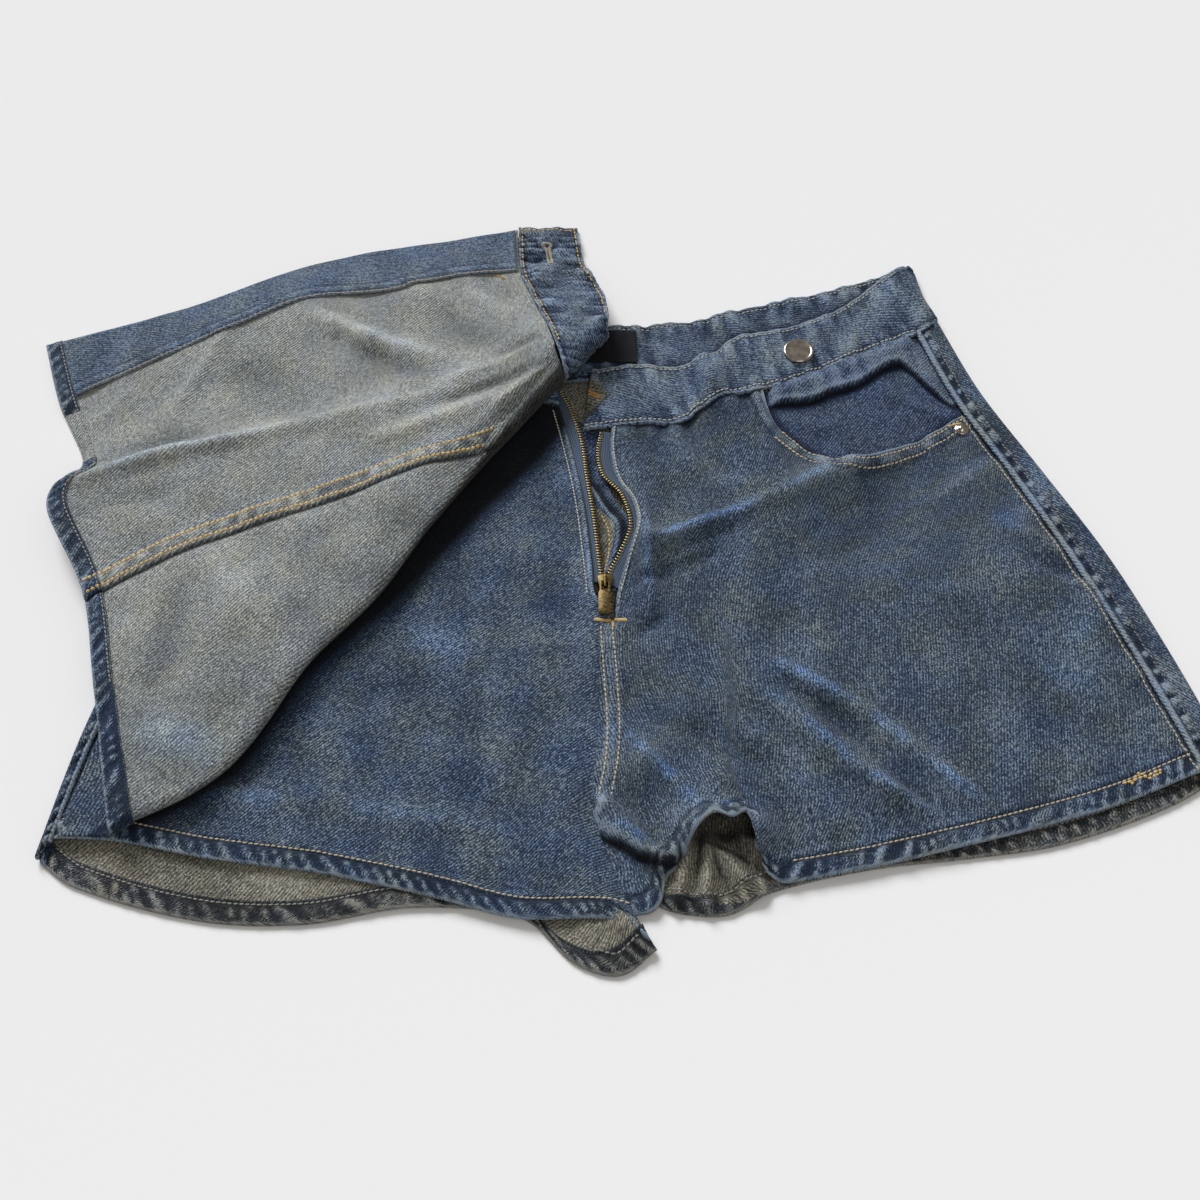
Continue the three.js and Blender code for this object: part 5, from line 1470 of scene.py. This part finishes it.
def addStitch(bm, place, normal, heading, length, width, height, lean=0.0):
    normal = normal.normalized()
    out = normal.cross(heading).normalized()
    ahead = (out.cross(normal).normalized() + out * lean).normalized()
    out = normal.cross(ahead)
    turn = Matrix((ahead, out, normal)).transposed().to_4x4()
    size = Matrix.Diagonal((*[mm / 2 * value for value in (length, width, height)], 1))
    bmesh.ops.create_icosphere(bm, subdivisions=1, radius=1, matrix=Matrix.Translation(place) @ turn @ size)


def densify(points, pitch, finish):
    # a place for each stitch of a row, and the way it heads
    line = drawn(points, 500)
    at = lengthAlong(line)
    count = max(int((at[-1] - finish) / pitch), 1)
    places = pitch * (np.arange(count) + 0.5)
    ahead = np.minimum(places + 0.6, at[-1])
    return placesOn(places, at, line), placesOn(ahead, at, line) - placesOn(ahead - 1.2, at, line)


def stitchRow(bm, points, names, pitch=stitchLook["pitch"], width=stitchLook["width"], seed=1, finish=0.0):
    # one stitch after another along a line, none where the cloth is missing or steep
    chance = np.random.default_rng(seed)
    places, headings = densify(points, pitch, finish)
    for (x, y), (dx, dy) in zip(places[:, :2], headings[:, :2]):
        hit, normal = surfaceAt(names, x, y) or (None, None)
        if hit is None or normal.z < 0.25:
            continue
        length = pitch * stitchLook["length"] / stitchLook["pitch"] * chance.uniform(0.94, 1.05)
        spot = hit - normal * (mm * stitchLook["sink"])
        heading = Vector((dx, dy, 0))
        addStitch(bm, spot, normal, heading, length, width, stitchLook["height"], stitchLook["lean"])


def offsetLine(points, away):
    # a line beside another one, to its left if away is positive
    line = drawn(points, 60)[:, :2]
    tangent = np.gradient(line, axis=0)
    tangent = tangent / np.linalg.norm(tangent, axis=1, keepdims=True)
    return line + away * np.column_stack([-tangent[:, 1], tangent[:, 0]])


def bartack(bm, a, b, names, length):
    # close zigzag stitches across a short bar
    chance = np.random.default_rng(closeLook["seed"])
    a, b = np.array(a, float), np.array(b, float)
    count = max(int(np.linalg.norm(b - a) / closeLook["pitch"]), 2)
    heading = Vector((-(b - a)[1], (b - a)[0], 0))
    for k in range(count + 1):
        found = surfaceAt(names, *(a + (b - a) * k / count))
        if found:
            hit, normal = found
            addStitch(bm, hit + normal * 0.0001, normal, heading, length * chance.uniform(0.85, 1.1),
                      closeLook["width"], closeLook["height"], closeLook["lean"])


hemLine = hemFold["stitch"]
sewn = [bmesh.new() for _ in threadTones]
tan, gold, grey, orange, beige, pale = sewn
frontsRight, frontsLeft = ["frontLegRight"], ["frontLegLeft"]
stitchRow(tan, offsetLine(leftFrontHem, hemLine), frontsLeft, seed=1, finish=4)
stitchRow(tan, offsetLine(archHem[:6], -hemLine), frontsRight, seed=2, finish=4)
stitchRow(grey, offsetLine(leftBackHem, hemLine), ["backLegLeft"], seed=3)
stitchRow(grey, offsetLine(rightBackHem, -hemLine), ["backLegRight"], seed=4)
stitchRow(gold, [(276, -119), (287, -115.5), (299, -111)], frontsRight, width=2.0, seed=5)
stitchRow(
    gold, [(281, -119.5), (286, -113), (291, -116), (298, -112.5)], frontsRight, pitch=2.2, width=1.8, seed=6)
crotchLeft = [(0.5, -22), (2, -48), (4, -83), (3, -105), (-1, -128)]
crotchRight = [(7, -22), (9, -48), (10.6, -83), (9.5, -105), (5.5, -128)]
stitchRow(tan, crotchLeft, frontsRight, seed=6)
stitchRow(tan, crotchRight, frontsRight, seed=7)
rightSeam = edgeLine(rightEdges, "seam")
stitchRow(tan, offsetLine(rightSeam, 2.4), frontsRight, seed=8)
stitchRow(grey, offsetLine(rightSeam, -8.5), ["backLegRight"], seed=9, width=0.8)
stitchRow(pale, offsetLine(rightFly, -1.6), frontsRight, pitch=2.4, seed=10, width=1.1)
stitchRow(pale, offsetLine(leftFly, 4.2), frontsLeft, pitch=2.4, seed=11, width=1.15)
mouth = [tuple(place) for place in mouthLine[::6]]
stitchRow(tan, offsetLine(mouth, 2.0), frontsRight, seed=12, width=1.3)
stitchRow(tan, offsetLine(mouth, 7.6), frontsRight, seed=13, width=1.35)
stitchRow(pale, offsetLine(rightBandFoot, -2.0), ["waistbandRight"], seed=14)
stitchRow(pale, offsetLine(rightBandTop, 2.4), ["waistbandRight"], seed=15, width=0.95)
stitchRow(pale, offsetLine(backBandTop, 2.6), ["waistbandBack"], seed=16, width=0.95)


def flapLine(t, extra, low=0.03, high=0.995):
    # plan places on the flap, a few millimetres from one of its columns
    found = []
    fine = np.linspace(max(t - 1, 0), t + 2.6, 240)
    for value in np.linspace(low, high, 70):
        row = flapSurface(np.full(len(fine), value), fine)
        at = lengthAlong(row)
        mark = np.interp(t, fine, at) + extra + (seamDrift(value) if t == 4 else 0)
        if np.interp(mark, at, fine) < 6.2:
            found.append(placesOn(mark, at, row)[0, :2])
    return np.array(found)


stitchRow(gold, flapLine(4, -4.0, 0.004, 0.95)[::2], ["flap"], seed=21, width=2.5)
stitchRow(gold, flapLine(4, 3.6, 0.004, 0.95)[::2], ["flap"], seed=22, width=2.5)
flapHemLine = np.array([flapSurface(np.array([hemLine / flap["length"]]), np.array([t]))[0][:2]
                        for t in np.linspace(0.04, 5.2, 60)])
stitchRow(grey, flapHemLine[::3], ["flap"], seed=23)
stitchRow(tan, flapLine(1, -1.4, 0.05)[::3], ["flapFacing"], seed=24, width=0.9)
for share, seed in ((0.06, 25), (0.94, 26)):
    tabLine = [between(row["seam"], row["top"], share)[:2] for row in flapBandRows]
    stitchRow(gold, tabLine, ["flapWaistband"], seed=seed, width=1.3)
stitchRow(gold, [(-51, 289.5), (-34, 290.5), (-18, 290.5)], ["flapWaistband"], seed=27, width=1.3)
stitchRow(gold, [(1, 58), (5, 46), (5, 30), (2, 14)], ["flyShield"], seed=28, width=1.0)

bartack(gold, (-3, -17), (15, -17), frontsRight + frontsLeft, 3.0)
bartack(gold, (6.5, -12.5), (7.5, -22), frontsRight + frontsLeft, 2.2)
bartack(orange, (-67, 243.5), (-61, 239), ["flap", "flapFacing"], 2.2)
bartack(gold, (211, 121), (219, 123), frontsRight, 2.0)


def buttonhole(bm, head, tail, names, reach=2.3, eye=2.2):
    # keyhole: a round eye and a slit, worked all round with close stitches
    head, tail = Vector(head), Vector(tail)
    along = (tail - head).normalized()
    side = Vector((-along.y, along.x))
    outline = []
    for k in range(17):
        angle = math.radians(-140 + 280 * k / 16)
        outline.append((head - along * math.cos(angle) * eye + side * math.sin(angle) * eye,
                        -along * math.cos(angle) + side * math.sin(angle)))
    count = int((tail - head).length / 0.6)
    for k in range(3, count):
        for way in (1, -1):
            outline.append((head + along * (k * 0.6) + side * way, side * way))
    for k in range(5):
        outline.append((tail + side * (k - 2) * 0.5, along))
    for place, outwards in outline:
        found = surfaceAt(names, place.x, place.y)
        if found:
            hit, normal = found
            heading = Vector((outwards.x, outwards.y, 0))
            addStitch(
                bm, hit + normal * 0.00005, normal, heading, reach, closeLook["width"], closeLook["height"])


buttonhole(beige, (-34.7, 275), (-31.8, 256), ["flapWaistband"], reach=2.6, eye=2.6)
buttonhole(orange, (-15, 152), (-1, 143.5), ["waistbandRight"], eye=1.8)
for (tone, colours), bm in zip(threadTones.items(), sewn):
    meshPiece(f"stitches{tone}", bm, thread(f"thread{tone}", *colours))
print("stitches sewn")


# Hardware.
def spun(name, profile, at, base, segments, node):
    # turned metal: a profile of radius and height spun about an upright line
    bm = bmesh.new()
    verts = [bm.verts.new((mm * radius, 0, mm * height)) for radius, height in profile]
    for a, b in zip(verts, verts[1:]):
        bm.edges.new((a, b))
    bmesh.ops.spin(bm, geom=bm.verts[:] + bm.edges[:], cent=(0, 0, 0), axis=(0, 0, 1), angle=2 * math.pi,
                   steps=segments, use_merge=True, use_duplicate=False)
    bmesh.ops.remove_doubles(bm, verts=bm.verts[:], dist=1e-6)
    bmesh.ops.recalc_face_normals(bm, faces=bm.faces[:])
    bmesh.ops.translate(bm, verts=bm.verts[:], vec=Vector(metres((at[0], at[1], 0))) + Vector((0, 0, base)))
    meshPiece(name, bm, buttonMetal, node)


buttonProfile = [
    (0, 0), (5.2, 0), (5.2, 1.0), (8.6, 1.15), (9.2, 1.45), (9.5, 1.95), (9.42, 2.45), (9.1, 2.85), (8.6, 3.05),
    (8.1, 3.02), (7.8, 2.86), (7.5, 2.78), (5.0, 2.86), (2.5, 2.92), (0, 2.94),
]
spun("shankButton", buttonProfile, buttonAt, buttonLow.z, 64, "shank_button")
rivetProfile = [
    (0, 0), (4.5, 0), (4.5, 0.35), (4.2, 0.65), (3.4, 0.8), (2.6, 0.9), (2.1, 1.35), (1.6, 1.8), (0.9, 2.0),
    (0, 2.05),
]
rivetLow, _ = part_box("pocket_rivet")
spun("pocketRivet", rivetProfile, rivetAt, rivetLow.z, 40, "pocket_rivet")


def rounded(name, node, body, width):
    # the CAD piece with its facets joined and its edges rounded
    bm = bmesh.new()
    bm.from_mesh(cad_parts[node].data)
    bmesh.ops.remove_doubles(bm, verts=bm.verts[:], dist=1e-5)
    bmesh.ops.dissolve_limit(bm, angle_limit=math.radians(2), verts=bm.verts[:], edges=bm.edges[:])
    sharp = [edge for edge in bm.edges if edge.is_manifold and edge.calc_face_angle(0) > math.radians(25)]
    bmesh.ops.bevel(bm, geom=sharp, offset=mm * width, segments=2, affect="EDGES", profile=0.5, material=-1)
    meshPiece(name, bm, brass, node, body)


rounded("zipSlider", "zip_slider", "garment", 0.35)
rounded("zipPull", "zip_pull", "pull", 0.22)
print("hardware made")

# Floor, light and look. Lengths in metres.
light = {
    "world": 0.30, "worldColour": (1.0, 0.97, 0.95), "backdrop": (0.76, 0.77, 0.77),
    "sun": 3.45, "sunWidth": 28, "sunColour": (0.95, 0.965, 1.0), "sunWay": (2.0, -3.8, -3.1),
    "soft": 55, "softSize": (2.5, 2.5), "softColour": (1.0, 0.96, 0.88), "softPlace": (0.9, -2.6, 5.0),
}
ground = {"half": 60, "drop": 0.0002, "colour": (0.80, 0.80, 0.80, 1), "rough": 0.9, "shine": 0.1}
floorMaterial, tree, shader = newMaterial("floorPaper")
setSockets(tree, shader, {
    "Base Color": ground["colour"], "Roughness": ground["rough"], "Specular IOR Level": ground["shine"]})
bm = bmesh.new()
bmesh.ops.create_grid(bm, x_segments=1, y_segments=1, size=ground["half"])
floor = newPiece("floor", bm, [floorMaterial])
floor.location.z = -ground["drop"]

world = bpy.data.worlds.new("studio")
world.use_nodes = True
tree = world.node_tree
background = tree.nodes["Background"]
setSockets(tree, background, {"Color": (*light["worldColour"], 1), "Strength": light["world"]})
chosen = addNode(tree, "ShaderNodeMixShader", {
    "Fac": addNode(tree, "ShaderNodeLightPath").outputs["Is Camera Ray"], 1: background.outputs[0],
    2: addNode(tree, "ShaderNodeBackground", {"Color": (*light["backdrop"], 1)}).outputs[0]})
setSockets(tree, tree.nodes["World Output"], {"Surface": chosen.outputs[0]})
bpy.context.scene.world = world


def addLamp(name, kind, power, colour):
    data = bpy.data.lights.new(name, kind)
    data.energy, data.color = power, colour
    lamp = bpy.data.objects.new(name, data)
    bpy.context.scene.collection.objects.link(lamp)
    return data, lamp


sun, lamp = addLamp("skyBehind", "SUN", light["sun"], light["sunColour"])
sun.angle = math.radians(light["sunWidth"])
lamp.rotation_euler = Vector(light["sunWay"]).to_track_quat("-Z", "Y").to_euler()
soft, lamp = addLamp("softAbove", "AREA", light["soft"], light["softColour"])
soft.shape = "RECTANGLE"
soft.size, soft.size_y = light["softSize"]
lamp.location = Vector(tableOrigin) + Vector(light["softPlace"])
lamp.rotation_euler = (Vector(tableOrigin) - lamp.location).to_track_quat("-Z", "Y").to_euler()
bpy.context.scene.view_settings.view_transform = "Standard"
print("light set")
